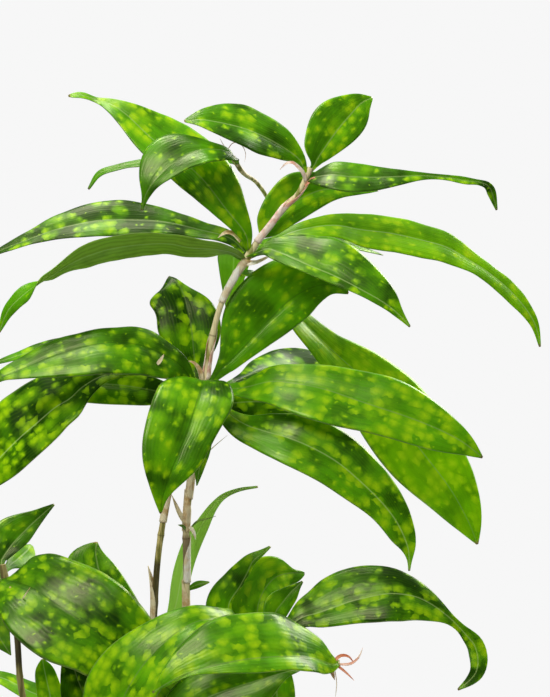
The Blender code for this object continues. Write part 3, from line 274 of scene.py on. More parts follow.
    "leaf_left_hanging": dict(cane="cane_left", seat=283, width=22, looks=[(-20, 60), (-10, 30), (0, 10)],
        spine=[(-81, 285, 6), (-84.7, 273.6, 6), (-79.5, 259, 4), (-71.4, 246, 2)]),
    "leaf_left_outer": dict(cane="cane_left", seat=287, width=36, looks=[(-30, 50), (-30, 40), (-30, 30)],
        spine=[(-91, 300.4, -9), (-110.8, 299.4, -14), (-132, 286, -16), (-151, 263, -16)]),
    # Leaves low in the pot
    "leaf_low_back_upright": dict(cane="cane_second", seat=206, looks=[(0, 10), (0, 12), (0, 15), (0, 20)],
        spine=[(2, 226, -8, 8, 10), (-4, 246, -13, 20, 22), (-12, 270, -18, 25, 19.5),
        (-17, 290, -22, 23, 13.5), (-20, 303, -26, 19, 7.5), (-20.5, 309, -28, 14, 3.5),
        (-20, 314, -30, 0.6)]),
    "leaf_low_left_thin": dict(cane="cane_second", seat=172, width=24, painted_backlight=True,
        looks=[(0, 60), (0, 68), (0, 70), (0, 60)],
        spine=[(-7, 201, -24), (-33, 214, -36), (-58, 223, -40), (-80, 233, -42), (-103, 231, -42)]),
    "leaf_low_left_pale": dict(cane="cane_left", seat=160, painted_backlight=True, looks=[(0, 10), (0, 10), (0, 20)],
        spine=[(-51, 186, -8, 5), (-47, 205, -11, 8), (-47.5, 219, -13, 8), (-50, 231, -15, 7),
        (-51.7, 239, -16, 5), (-52.5, 243.8, -17, 0.6)]),
    "leaf_low_left_shaded": dict(cane="cane_second", seat=158, width=36, tone=(0.5, 0.0, 0.6),
        looks=[(0, 20), (0, 15), (0, 15)],
        spine=[(-3, 178, 17), (-17, 201, 20), (-30, 228, 21), (-39, 256, 19)]),
    "leaf_low_front": dict(cane="cane_front", seat=249, tone=(2.6, 0.8, 0.3),
        looks=[(-10, 70), (-10, 50), (-15, 42), (-20, 34), (-25, 25), (-30, 10)],
        spine=[(68, 262, 30, 6), (56, 266.5, 42, 8, 8.5), (44, 267, 50, 10), (32, 262, 56, 13, 13.5),
        (20, 253, 60, 16, 17), (8, 240, 64, 17, 22), (-2, 224, 66, 17, 26), (-10, 204, 66, 17, 23),
        (-18, 184, 64, 10), (-24, 166, 62, 0.6)]),
    "leaf_low_right_long": dict(cane="cane_front", seat=251, droop=0.3, tone=(1.2, 0.35, 1.0),
        looks=[(0, 45), (0, 42), (0, 40), (0, 40), (0, 40), (-10, 35), (-20, 30)],
        spine=[(94, 262, 8, 4), (103, 268.5, 7, 9, 6), (112, 271, 6, 15, 9), (122.5, 274.7, 5, 19.5, 11.6),
        (133, 278.4, 4, 20.3, 14), (144, 281, 4, 19.8, 15.6), (155, 282.8, 4, 17, 16.8),
        (165.6, 282.2, 4, 13, 16), (174, 280, 4, 8.5, 14), (182, 275.7, 4, 6.5, 10),
        (189.4, 270.3, 4, 3.5, 5.8), (194.8, 265.5, 4, 1.3), (201.2, 258.5, 4, 4.6, 3.2),
        (206.6, 252, 4, 6.3, 5), (208.8, 243.3, 4, 5.7, 5), (207.7, 235.8, 4, 5.2, 4.4),
        (203.4, 230.4, 4, 3, 2.5), (196.7, 225.2, 4, 0.6)]),
    "leaf_low_right_folded": dict(cane="cane_front", seat=254, fold=20, tone=(0.6, 0.5, 0.9),
        looks=[(-25, 10), (-25, 10), (-25, 15), (-25, 30)],
        spine=[(67, 260, 5, 3), (60.5, 268.5, 3, 13.5, 3), (59.6, 277.2, 2, 14, 1.2),
        (65.6, 286.6, 1, 12.5, 1.2), (70.3, 295, 0, 10, 1.4), (74, 302.4, -1, 5.5, 1.8),
        (79.7, 307.1, -2, 2.6, 1.2), (84.3, 311.3, -3, 0.6)]),
    "leaf_low_right_back": dict(cane="cane_front", seat=256, tone=(1.4, 0.9, 0.5),
        looks=[(10, 10), (10, 10), (10, 15), (20, 20)],
        spine=[(76, 264, -6, 6, 4), (76.4, 269.5, -9, 15, 8), (76.8, 276.1, -11, 17, 12),
        (80.4, 285.1, -16, 18, 11), (85.8, 291.7, -22, 15.5, 9), (90, 294, -25, 11.8, 8.5),
        (94, 295, -29, 7.5, 8), (97.5, 295.4, -32, 2.4, 7), (101.5, 295.4, -35, 1.6, 5),
        (104.8, 295, -38, 0.6)]),
    "leaf_low_right_young": dict(cane="cane_front", seat=253, looks=[(20, 20), (20, 20), (20, 30)],
        spine=[(84.5, 262, -1, 3), (87, 271.3, -6, 7.8, 7), (90.8, 276.8, -9, 9, 6.6),
        (96.5, 283.8, -13, 4.5, 5.4), (100.2, 287.3, -15, 2, 2.6), (103.6, 290.3, -17, 0.6)]),
    "leaf_low_right_hanging": dict(cane="cane_front", seat=243, width=22, looks=[(0, 50), (0, 20), (0, 10)],
        spine=[(84.5, 246, 20), (87, 233, 23), (89, 212, 25), (90, 186, 25)]),
    # The shoot that leans out at the front
    "leaf_front_arched": dict(cane="cane_front", twig=0, seat=252.8, tone=(1.9, 0.7, 0.4),
        looks=[(-10, 30), (0, 44), (0, 42), (0, 40), (-10, 35), (-20, 20)],
        spine=[(121.6, 240.4, 62.4, 4.5, 7.5), (118, 241.3, 64.5, 6.4, 10.5),
        (113.5, 242.9, 68.5, 7.4, 14.5), (108, 244.2, 74, 8, 19.6), (100.2, 244.9, 81.5, 8, 25),
        (91.2, 245.1, 88, 8, 27.4), (73.8, 243.9, 95.5, 9, 28.5), (56.4, 241, 100, 6, 28),
        (39, 236.5, 102, 2.4, 20), (27.6, 231.7, 103, 1.6, 12), (19.8, 227.5, 103, 1.2, 5),
        (13.7, 223.6, 102.5, 0.6)]),
    "leaf_front_under": dict(cane="cane_front", twig=0, seat=249.8, tone=(1.1, 0.7, 0.9),
        looks=[(0, 50), (0, 45), (-10, 40), (-20, 20)],
        spine=[(99, 237, 63, 1.6), (91, 235, 67, 4, 5), (78, 231, 70, 14, 11), (62, 226, 73, 17, 18),
        (46, 220, 75, 17, 19), (32, 209, 75, 15, 16), (22, 193, 73, 8, 9), (16, 176, 71, 0.6)]),
    # Leaves that arch out over the pot, below the rest
    "leaf_base_right": dict(cane="cane_front", seat=166, width=34, looks=[(0, 60), (0, 50), (0, 40)],
        spine=[(72.5, 193, 12), (98, 204, 6), (121, 198, 2), (140, 180, 0)]),
    "leaf_base_back_right": dict(cane="cane_main", seat=180, width=36,
        looks=[(60, 70), (120, 60), (140, 40)],
        spine=[(41, 205, -20), (55, 214, -48), (64.5, 205, -78), (70.5, 182, -104)]),
    "leaf_base_back_left": dict(cane="cane_main", seat=200, width=36,
        looks=[(0, 90), (-160, 60), (-170, 40)],
        spine=[(25.5, 223, -20), (14, 233, -48), (2, 223, -80), (-7, 199, -108)]),
    "leaf_base_left": dict(cane="cane_left", seat=190, width=34, looks=[(-40, 60), (-50, 45), (-60, 30)],
        spine=[(-73.5, 210, 14), (-93, 216, 24), (-114, 206, 32), (-129, 186, 36)])}
# The usual blade: degrees of fold at the midrib, how far the edges turn down, where it is widest, its tone
FOLD = 15
EDGE_DROOP = 0.2
WIDEST = 0.45
USUAL_TONE = (0.9, 0.5, 0.75)
# How far one leaf's gold is from the next one's, so that no two blades share their blotches
SPOT_SHIFT = 300.0


def place(across, high, toward):
    """The point that is seen at these millimetres across and high, so far in front of the upright plane."""
    shown = SIGHT_AIM + Vector((across * MM - SIGHT_AIM.x, 0.0, 0.0)) + SIGHT_UP * (high * MM - SIGHT_AIM.z)
    sight = shown - SIGHT
    return SIGHT + sight * ((-toward * MM - SIGHT.y) / sight.y)


def seen_at(point):
    """Where a point is seen on the picture plane, across and high."""
    sight = point - SIGHT
    return Vector((sight.x, sight.dot(SIGHT_UP))) * (SIGHT_DISTANCE / sight.dot(SIGHT_AXIS))


def curve_value(a, b, c, d, t):
    """One coordinate of a smooth curve that passes from b to c, with a before and d after."""
    slope_b = (c - a) / 2
    slope_c = (d - b) / 2
    turn = 3 * (c - b) - 2 * slope_b - slope_c
    bend = 2 * (b - c) + slope_b + slope_c
    return b + t * (slope_b + t * (turn + t * bend))


def smooth_path(knots, spacing):
    """Points about `spacing` apart on a smooth curve through the knots, each knot a list of numbers."""
    before_first = [2 * a - b for a, b in zip(knots[0], knots[1])]
    after_last = [2 * a - b for a, b in zip(knots[-1], knots[-2])]
    padded = [before_first, *knots, after_last]
    path = []
    for before, start, end, after in zip(padded, padded[1:], padded[2:], padded[3:]):
        steps = max(1, round(math.dist(start[:3], end[:3]) / spacing))
        for step in range(steps):
            path.append([curve_value(*values, step / steps) for values in zip(before, start, end, after)])
    path.append(list(knots[-1]))
    return path


def cane_path(points):
    """The cane's middle and radius, closely spaced from its foot to its tip."""
    knots = [(*place(*point), radius * MM) for *point, radius in points]
    return smooth_path(knots, CANE_SPACING)


def seat_on_cane(path, height):
    """The cane's middle, direction and radius at a height above the pot's underside."""
    for (*low, r0), (*high, r1) in zip(path, path[1:]):
        if low[2] <= height <= high[2]:
            share = (height - low[2]) / (high[2] - low[2])
            low, high = Vector(low), Vector(high)
            return low.lerp(high, share), (high - low).normalized(), r0 + (r1 - r0) * share
    raise ValueError("no cane at this height")


def square_to(along, facing):
    """The directions up and to the side of a path, with up as near as may be to the way it should face."""
    up = (facing - along * facing.dot(along)).normalized()
    return up, along.cross(up)


def leaf_route(leaf, routes):
    """The leaf's midrib knots, from just off the cane's surface to the tip, with any seen half widths."""
    key = (leaf["cane"], leaf["twig"]) if "twig" in leaf else leaf["cane"]
    middle, along, radius = seat_on_cane(routes[key], leaf["seat"] * MM)
    knots = []
    for across, high, toward, *reaches in leaf["spine"]:
        knots.append([*place(across, high, toward), *(reach * MM for reach in (reaches * 2)[:2])])
    first = (Vector(knots[0][:3]) - middle).normalized()
    outward, _ = square_to(along, first)
    lean = math.sqrt(max(0.0, 1.0 - first.dot(outward) ** 2))
    start = middle + outward * (radius + SEAT_GAP + BLADE_THICKNESS * lean)
    return [[*start] + [PETIOLE_HALF_WIDTH] * (len(knots[0]) - 3)] + knots


def even_points(knots, count):
    """Shares, points, directions and seen half widths along the midrib, a little closer at both ends."""
    fine = smooth_path(knots, ROUTE_SPACING)
    lengths = [0.0]
    for a, b in zip(fine, fine[1:]):
        lengths.append(lengths[-1] + math.dist(a[:3], b[:3]))
    spots = []
    for i in range(count + 1):
        crowded = (1 - math.cos(math.pi * i / count)) / 2
        share = (1 - END_CROWDING) * i / count + END_CROWDING * crowded
        wanted = share * lengths[-1]
        k = next((n for n in range(len(lengths) - 1) if lengths[n + 1] >= wanted), len(lengths) - 2)
        part = (wanted - lengths[k]) / (lengths[k + 1] - lengths[k])
        here = [a + (b - a) * part for a, b in zip(fine[k], fine[k + 1])]
        ahead = Vector(fine[min(k + 2, len(fine) - 1)][:3]) - Vector(fine[max(k - 1, 0)][:3])
        spots.append((share, Vector(here[:3]), ahead.normalized(), here[3:]))
    return spots


def half_width(share, leaf):
    """Half the blade's width: a narrow stalk, widest near the middle, and a drawn-out tip."""
    swell = math.sin(math.pi * share ** (math.log(0.5) / math.log(WIDEST)))
    blade = 0.5 * leaf["width"] * MM * max(swell, 0.0)
    stalk = PETIOLE_HALF_WIDTH + (TIP_HALF_WIDTH - PETIOLE_HALF_WIDTH) * share
    return math.hypot(blade, stalk)


def blade_reach(seen, here, along, side, lift):
    """How far the blade reaches left and right of its midrib to show the half widths that are seen."""
    middle = seen_at(here)
    travel = (seen_at(here + along * MM) - middle).normalized()
    across = Vector((travel.y, -travel.x))
    left_share = (middle - seen_at(here + (lift - side) * MM)).dot(across) / MM
    right_share = (seen_at(here + (lift + side) * MM) - middle).dot(across) / MM
    if left_share + right_share < 0:
        seen = seen[::-1]
    return [max(half, TIP_HALF_WIDTH) / max(abs(share), LEAST_SHARE_SEEN)
            for half, share in zip(seen, (left_share, right_share))]


def face_direction(looks, share):
    """The way the upper face looks, part of the way along the leaf."""
    reached = share * (len(looks) - 1)
    i = min(int(reached), len(looks) - 2)
    t = reached - i
    t = t * t * (3 - 2 * t)
    turn, rise = [math.radians(a + (b - a) * t) for a, b in zip(looks[i], looks[i + 1])]
    return Vector((math.sin(turn) * math.cos(rise), -math.cos(turn) * math.cos(rise), math.sin(rise)))


def linear(code):
    """An sRGB hex colour as the linear values that a shader takes."""
    parts = [int(code[i:i + 2], 16) / 255 for i in (1, 3, 5)]
    return (*(c / 12.92 if c <= 0.04045 else ((c + 0.055) / 1.055) ** 2.4 for c in parts), 1.0)


def add_node(tree, kind, *values, **named):
    """Adds a node and returns its first live output, through which .node.outputs gives the others.

    Values are sockets or constants that feed its live inputs in order. A capitalised name feeds the input
    of that name, and any other name is one of the node's own settings.
    """
    node = tree.nodes.new(kind if "Node" in kind else "ShaderNode" + kind)
    for name in [name for name in named if name.islower()]:
        setattr(node, name, named.pop(name))
    feeds = list(zip([socket for socket in node.inputs if socket.enabled], values))
    feeds += [(node.inputs[name.replace("_", " ")], value) for name, value in named.items()]
    for socket, value in feeds:
        if isinstance(value, bpy.types.NodeSocket):
            tree.links.new(value, socket)
        else:
            socket.default_value = value
    return next((socket for socket in node.outputs if socket.enabled), None)


def new_material(name):
    """An empty material, and what adds a node to it."""
    material = bpy.data.materials.new(name)
    material.use_nodes = True
    material.node_tree.nodes.clear()
    return material, functools.partial(add_node, material.node_tree)


# The gold on a blade, as dots, the halos round them, and blotches: the grid in millimetres, the least and
# most reach of a spot as a share of it, the shares of that reach at which the spot begins and is full, and
# a shift that keeps dots and blotches apart
SPOT_GRIDS = [(6.2, -0.2, 0.7, 1.35, -0.75, 57.0), (6.2, -0.2, 0.7, 2.55, -0.25, 57.0),
              (12.0, -0.2, 0.8, 1.15, -0.45, 0.0)]


def leaf_material(name, tones, gloss, glow, shares):
    """Living leaf, waxy above and matt below: green with soft gold blotches, faint long veins and a midrib.

    Tones are the shaded green, the lit green, the halo round a spot, its middle, the vein and the dry tip.
    Shares say how strongly the veins, the bands between them, the halos and the spots show. The attributes
    across, along, blade_mm, gold, light and rib come from the blade's own mesh.
    """
    vein_share, band_share, ring_share, core_share = shares
    shade, lit, halo, spot, vein, dry = [linear(tone) for tone in tones]
    material, add = new_material(name)
    where = add("Attribute", attribute_name="blade_mm").node.outputs["Vector"]
    across, along, gold, light, ribbing = [
        add("Attribute", attribute_name=label).node.outputs["Fac"]
        for label in ("across", "along", "gold", "light", "rib")]

    # Round soft dots up to 5 mm across on a loose 6.2 mm grid, and fainter blotches on a 12 mm grid. Both
    # are thick in some parts of the blade and thin in others.
    wander = add("TexNoise", where, Scale=0.3, Detail=1.0).node.outputs["Color"]
    shift = add("VectorMath", wander, (0.5, 0.5, 0.5), operation="SUBTRACT")
    bent = add("VectorMath", shift, (3.5, 3.5, 0.0), where, operation="MULTIPLY_ADD")
    drawn = add("VectorMath", bent, (1.1, 0.85, 1.0), operation="MULTIPLY")
    thick = add("TexNoise", where, Scale=0.05, Detail=1.0)
    thick = add("MapRange", thick, 0.35, 0.65, 0.3, 1.15)
    cover = add("Math", thick, gold, operation="MULTIPLY")
    grain = add("TexNoise", where, Scale=0.8, Detail=3.0)
    marks = []
    for spacing, least, most, rim, middle, offset in SPOT_GRIDS:
        moved = add("VectorMath", drawn, (offset, offset, 0.0))
        cells = add("TexVoronoi", moved, Scale=1.0 / spacing, Randomness=0.7, voronoi_dimensions="2D")
        chance = add("SeparateColor", cells.node.outputs["Color"])
        reach = add("MapRange", chance, To_Min=least, To_Max=most)
        for limit, operation in ((cover, "MULTIPLY"), (0.02, "MAXIMUM"), (0.45, "MINIMUM")):
            reach = add("Math", reach, limit, operation=operation)
        share = add("Math", cells.node.outputs["Distance"], reach, operation="DIVIDE")
        share = add("Math", grain, -0.5, share, operation="MULTIPLY_ADD")
        marks.append(add("MapRange", share, rim, middle, interpolation_type="SMOOTHSTEP"))
    ends = add("MapRange", along, 0.98, 0.84)
    core = add("Math", marks[0], ends, operation="MULTIPLY")
    ring = add("Math", marks[1], marks[2], operation="MAXIMUM")
    ring = add("Math", ring, ring_share, operation="MULTIPLY")
    core = add("Math", core, core_share, operation="MULTIPLY")

    # Lengthwise veins, drawn 1.8 mm apart since the real 1 mm ones are too fine to show, and bands about a
    # tenth of the blade wide, as the folds between the main veins shade it
    jitter = add("TexNoise", where, Scale=0.06)
    waves = []
    for turns, sway in ((64.0, 16.0), (21.0, 9.0)):
        wave = add("Math", across, turns, operation="MULTIPLY")
        wave = add("Math", jitter, sway, wave, operation="MULTIPLY_ADD")
        waves.append(add("Math", wave, operation="SINE"))
    veins = add("MapRange", waves[0], -0.3, 1.0, 0.0, vein_share)
    bands = add("MapRange", waves[1], -0.4, 1.0, 0.0, band_share)
    # The midrib: raised and pale on some leaves, and on others a dark line in the shaded green, painted
    # shade in its crease
    sides = add("SeparateXYZ", where)
    off_rib = add("Math", sides, operation="ABSOLUTE")
    rib = add("MapRange", off_rib, 0.6, 0.2, 0.0, 0.42, interpolation_type="SMOOTHSTEP")
    pale_rib_and_crease_shade = add("Mix", ribbing, shade, vein, data_type="RGBA")
    off_middle = add("Math", across, operation="ABSOLUTE")
    margin = add("MapRange", off_middle, 0.96, 0.99, 0.0, 0.3)
    dried = add("MapRange", along, 0.982, 0.996, 0.0, 0.9)

    # Greens drift at random over the blade between the painted shaded and painted lit green, and a leaf
    # marked past lit gets a painted pale sheen
    drift = add("TexNoise", where, Scale=0.05, Detail=3.0)
    drift = add("MapRange", drift, 0.32, 0.68, -0.5, 0.5)
    depth = add("Math", drift, light, use_clamp=True)
    painted_pale_sheen = add("MapRange", light, 1.0, 2.0, 0.0, 0.9)
    colour = shade
    for share, tone in ((depth, lit), (bands, shade), (ring, halo), (core, spot), (painted_pale_sheen, vein),
                        (veins, halo), (margin, vein), (dried, dry), (rib, pale_rib_and_crease_shade)):
        colour = add("Mix", share, colour, tone, data_type="RGBA")

    # The wax: satin, with a grain that breaks up the sheen along the veins. Leaves marked shaded get less
    # sheen than those marked lit: painted shade on the reflection.
    wax = add("MapRange", grain, To_Min=gloss - 0.08, To_Max=gloss + 0.08)
    height = add("Math", grain, 1.2, waves[0], operation="MULTIPLY_ADD")
    bump = add("Bump", Strength=0.3, Distance=0.00004, Height=height)
    sheen_cut_by_painted_shade = add("MapRange", light, 0.0, 0.4, 0.12, 0.65)
    skin = add("BsdfPrincipled", Base_Color=colour, Roughness=wax, IOR=1.45, Specular_IOR_Level=sheen_cut_by_painted_shade,
               Specular_Tint=linear("#FFFFC0"), Normal=bump)
    through = add("Mix", 0.4, colour, halo, data_type="RGBA")
    inner = add("BsdfTranslucent", Color=through, Normal=bump)
    blade = add("MixShader", glow, skin, inner)
    add("OutputMaterial", blade)
    return material


def cane_material(name, skin_tone, pale_tone, scar_tone, low, high):
    """Smooth young cane: olive skin, dried in strips to pale straw, with fibres and dark joint scars."""
    material, add = new_material(name)
    where = add("TexCoord").node.outputs["Object"]
    # Strips about 2 mm wide and 20 mm long, and fibres drawn 0.9 mm apart, coarser than the real ones
    strip_way = add("Mapping", where, Scale=(1.0, 1.0, 0.12))
    strips = add("TexNoise", strip_way, Scale=330.0, Detail=2.0)
    strips = add("MapRange", strips, 0.42, 0.52)
    fibre_way = add("Mapping", where, Scale=(1.0, 1.0, 0.1))
    fibre = add("TexNoise", fibre_way, Scale=1100.0, Detail=2.0)
    streak = add("MapRange", fibre, 0.52, 0.72, 0.0, 0.35)
    # The dark band fades out over 4 mm at both ends
    height = add("SeparateXYZ", where).node.outputs["Z"]
    above = add("MapRange", height, low - 0.004, low)
    below = add("MapRange", height, high + 0.004, high)
    band = add("Math", above, below, operation="MULTIPLY")
    band = add("Math", band, 0.75, operation="MULTIPLY")
    joint = add("Attribute", attribute_name="joint").node.outputs["Fac"]
    scarred = add("MapRange", joint, 0.7, 0.97, 0.0, 0.6)
    colour = linear(skin_tone)
    for share, tone in ((strips, pale_tone), (streak, scar_tone), (band, scar_tone), (scarred, scar_tone)):
        colour = add("Mix", share, colour, linear(tone), data_type="RGBA")
    bump = add("Bump", Strength=0.5, Distance=0.0003, Height=fibre)
    skin = add("BsdfPrincipled", Base_Color=colour, Roughness=0.5, Normal=bump)
    add("OutputMaterial", skin)
    return material


def paper_material(name, pale, warm, dark):
    """Dry sheath: thin papery skin, cream to rust, ribbed lengthwise and a little see-through to light."""
    material, add = new_material(name)
    where = add("TexCoord").node.outputs["Object"]
    ribs = add("Mapping", where, Scale=(1.0, 1.0, 0.12))
    ribs = add("TexNoise", ribs, Scale=1100.0, Detail=2.0)
    stain = add("TexNoise", where, Scale=160.0, Detail=4.0)
    stain = add("MapRange", stain, 0.46, 0.62)
    lines = add("MapRange", ribs, 0.52, 0.8, 0.0, 0.3)
    colour = linear(pale)
    for share, tone in ((stain, warm), (lines, dark)):
        colour = add("Mix", share, colour, linear(tone), data_type="RGBA")
    bump = add("Bump", Strength=0.6, Distance=0.0003, Height=ribs)
    skin = add("BsdfPrincipled", Base_Color=colour, Roughness=0.75, Normal=bump)
    inner = add("BsdfTranslucent", Color=colour)
    paper = add("MixShader", 0.25, skin, inner)
    add("OutputMaterial", paper)
    return material


def clay_material():
    """Unglazed terracotta, thrown and fired: matt, finely pitted, with a pale bloom of lime in patches."""
    material, add = new_material("unglazed_terracotta")
    where = add("TexCoord").node.outputs["Object"]
    clouds = add("TexNoise", where, Scale=22.0, Detail=5.0)
    clouds = add("MapRange", clouds, 0.35, 0.65)
    # Turning marks 2 mm apart round the pot, and pits of about 0.6 mm
    flat = add("Mapping", where, Scale=(0.05, 0.05, 1.0))
    marks = add("TexNoise", flat, Scale=500.0, Detail=2.0)
    pits = add("TexNoise", where, Scale=1600.0, Detail=2.0)
    specks = add("MapRange", pits, 0.62, 0.75, 0.0, 0.35)
    bloom = add("TexNoise", where, Scale=60.0, Detail=6.0, Roughness=0.65)
    bloom = add("MapRange", bloom, 0.55, 0.85, 0.0, 0.3)
    colour = linear("#A9583A")
    for share, tone in ((clouds, "#C07452"), (bloom, "#E2CDBB"), (specks, "#7A3A24")):
        colour = add("Mix", share, colour, linear(tone), data_type="RGBA")
    relief = add("Math", marks, 1.5, pits, operation="MULTIPLY_ADD")
    bump = add("Bump", Strength=0.45, Distance=0.0004, Height=relief)
    skin = add("BsdfPrincipled", Base_Color=colour, Roughness=0.88, IOR=1.5, Normal=bump)
    add("OutputMaterial", skin)
    return material


def soil_material(name, dark, brown, speck):
    """Moist potting mix: matt dark fibre and bark, flecked with paler bits."""
    material, add = new_material(name)
    where = add("TexCoord").node.outputs["Object"]
    clumps = add("TexNoise", where, Scale=260.0, Detail=5.0)
    clumps = add("MapRange", clumps, 0.35, 0.65)
    # Flecks on a 3 mm grid
    bits = add("TexVoronoi", where, Scale=330.0)
    flecks = add("MapRange", bits, 0.22, 0.1, 0.0, 0.7)
    colour = linear(dark)
    for share, tone in ((clumps, brown), (flecks, speck)):
        colour = add("Mix", share, colour, linear(tone), data_type="RGBA")
    bump = add("Bump", Strength=0.9, Distance=0.001, Height=clumps)
    skin = add("BsdfPrincipled", Base_Color=colour, Roughness=0.93, Normal=bump)
    add("OutputMaterial", skin)
    return material


def new_tree(name, **sizes):
    """A geometry tree with named inputs, what adds a node to it, and the sockets that give its inputs."""
    tree = bpy.data.node_groups.new(name, "GeometryNodeTree")
    tree.interface.new_socket("Geometry", in_out="INPUT", socket_type="NodeSocketGeometry")
    tree.interface.new_socket("Geometry", in_out="OUTPUT", socket_type="NodeSocketGeometry")
    for label, kind in sizes.items():
        tree.interface.new_socket(label.replace("_", " "), in_out="INPUT", socket_type="NodeSocket" + kind)
    return tree, functools.partial(add_node, tree), tree.nodes.new("NodeGroupInput").outputs


def placed(name, data):
    """A new object in the scene that shows these data."""
    piece = bpy.data.objects.new(name, data)
    bpy.context.scene.collection.objects.link(piece)
    return piece


def plain_mesh(piece):
    """The mesh that the piece's modifiers make of it."""
    graph = bpy.context.evaluated_depsgraph_get()
    return bpy.data.meshes.new_from_object(piece.evaluated_get(graph))


def mesh_of(shell, name):
    """A mesh from a shell under construction, which is then done with."""
    mesh = bpy.data.meshes.new(name)
    shell.to_mesh(mesh)
    shell.free()
    return mesh


def grown(piece, tree, **values):
    """Runs a geometry tree on a piece and keeps the result as its plain mesh."""
    step = piece.modifiers.new(tree.name, "NODES")
    step.node_group = tree
    for socket in tree.interface.items_tree:
        label = socket.name.replace(" ", "_")
        if socket.in_out == "INPUT" and label in values:
            step[socket.identifier] = values[label]
    name = piece.name
    result = placed(name + "_grown", plain_mesh(piece))
    bpy.data.objects.remove(piece, do_unlink=True)
    result.name = name
    return result


# How far the ripples of the two margins are from each other, and how fast they grow toward the margin
MARGINS_APART = 3.7
RIPPLE_GROWTH = 2.2


def blade_tree():
    """Raises the pleats and the rippled margins of a flat sheet, and closes it into a thin blade."""
    tree, add, given = new_tree(
        "pleated_blade", Thickness="Float", Pleats="Float", Pleat_Depth="Float", Ripple_Height="Float",
        Ripple_Length="Float", Seed="Float", Upper_Finish="Material", Under_Finish="Material")
    across = add("GeometryNodeInputNamedAttribute", "across", data_type="FLOAT")
    along = add("GeometryNodeInputNamedAttribute", "along", data_type="FLOAT")
    where = add("GeometryNodeInputNamedAttribute", "blade_mm", data_type="FLOAT_VECTOR")
    off_middle = add("Math", across, operation="ABSOLUTE")
    rise = add("MapRange", along, 0.0, 0.12, interpolation_type="SMOOTHSTEP")
    fall = add("MapRange", along, 1.0, 0.85, interpolation_type="SMOOTHSTEP")
    ends = add("Math", rise, fall, operation="MULTIPLY")

    turns = add("Math", off_middle, given["Pleats"], operation="MULTIPLY")
    turns = add("Math", turns, 2 * math.pi, operation="MULTIPLY")
    pleat = add("Math", turns, operation="COSINE")
    pleat = add("Math", pleat, given["Pleat Depth"], operation="MULTIPLY")

    # The ripple runs along each margin and dies away toward the midrib
    run = add("SeparateXYZ", where).node.outputs["Y"]
    run = add("Math", run, given["Ripple Length"], operation="DIVIDE")
    side = add("Math", across, operation="SIGN")
    side = add("Math", side, MARGINS_APART, given["Seed"], operation="MULTIPLY_ADD")
    spot = add("CombineXYZ", run, side)
    ripple = add("TexNoise", spot, Scale=1.0, Detail=1.0)
    ripple = add("Math", ripple, 0.5, operation="SUBTRACT")
    growth = add("Math", off_middle, RIPPLE_GROWTH, operation="POWER")
    ripple = add("Math", ripple, growth, operation="MULTIPLY")
    ripple = add("Math", ripple, given["Ripple Height"], operation="MULTIPLY")
    relief = add("Math", pleat, ripple)
    relief = add("Math", relief, ends, operation="MULTIPLY")
    normal = add("GeometryNodeInputNormal")
    lift = add("VectorMath", normal, relief, operation="SCALE")
    sheet = add("GeometryNodeSetPosition", given["Geometry"], Offset=lift)

    # Both skins part by the thickness, and meet along the rim
    inner_columns = add("Math", off_middle, 0.999, operation="LESS_THAN")
    off_centre = add("Math", along, 0.5, operation="SUBTRACT")
    off_centre = add("Math", off_centre, operation="ABSOLUTE")
    inner_rows = add("Math", off_centre, 0.4995, operation="LESS_THAN")
    inner = add("Math", inner_columns, inner_rows, operation="MULTIPLY")
    half = add("Math", given["Thickness"], 0.5, operation="MULTIPLY")
    half = add("Math", half, inner, operation="MULTIPLY")
    skins = []
    for sign in (1.0, -1.0):
        step = add("Math", half, sign, operation="MULTIPLY")
        step = add("VectorMath", normal, step, operation="SCALE")
        skin = add("GeometryNodeSetPosition", sheet, Offset=step)
        if sign < 0:
            skin = add("GeometryNodeFlipFaces", skin)
        skins.append(add("GeometryNodeStoreNamedAttribute", skin, Name="underside", Value=sign < 0,
                         data_type="BOOLEAN", domain="FACE"))
    both = add("GeometryNodeJoinGeometry", skins[0])
    tree.links.new(skins[1], both.node.inputs[0])
    closed = add("GeometryNodeMergeByDistance", both, Distance=WELD)
    smooth = add("GeometryNodeSetShadeSmooth", closed)
    real = add("GeometryNodeRealizeInstances", smooth)
    upper = add("GeometryNodeSetMaterial", real, Material=given["Upper Finish"])
    under = add("GeometryNodeInputNamedAttribute", "underside", data_type="BOOLEAN")
    done = add("GeometryNodeSetMaterial", upper, Selection=under, Material=given["Under Finish"])
    add("NodeGroupOutput", done)
    return tree


# How uneven the spaces between joints are, on what scale, and how sharp each joint is
JOINT_WANDER = 1.6
JOINT_WANDER_SCALE = 35.0
JOINT_SHARPNESS = 14.0


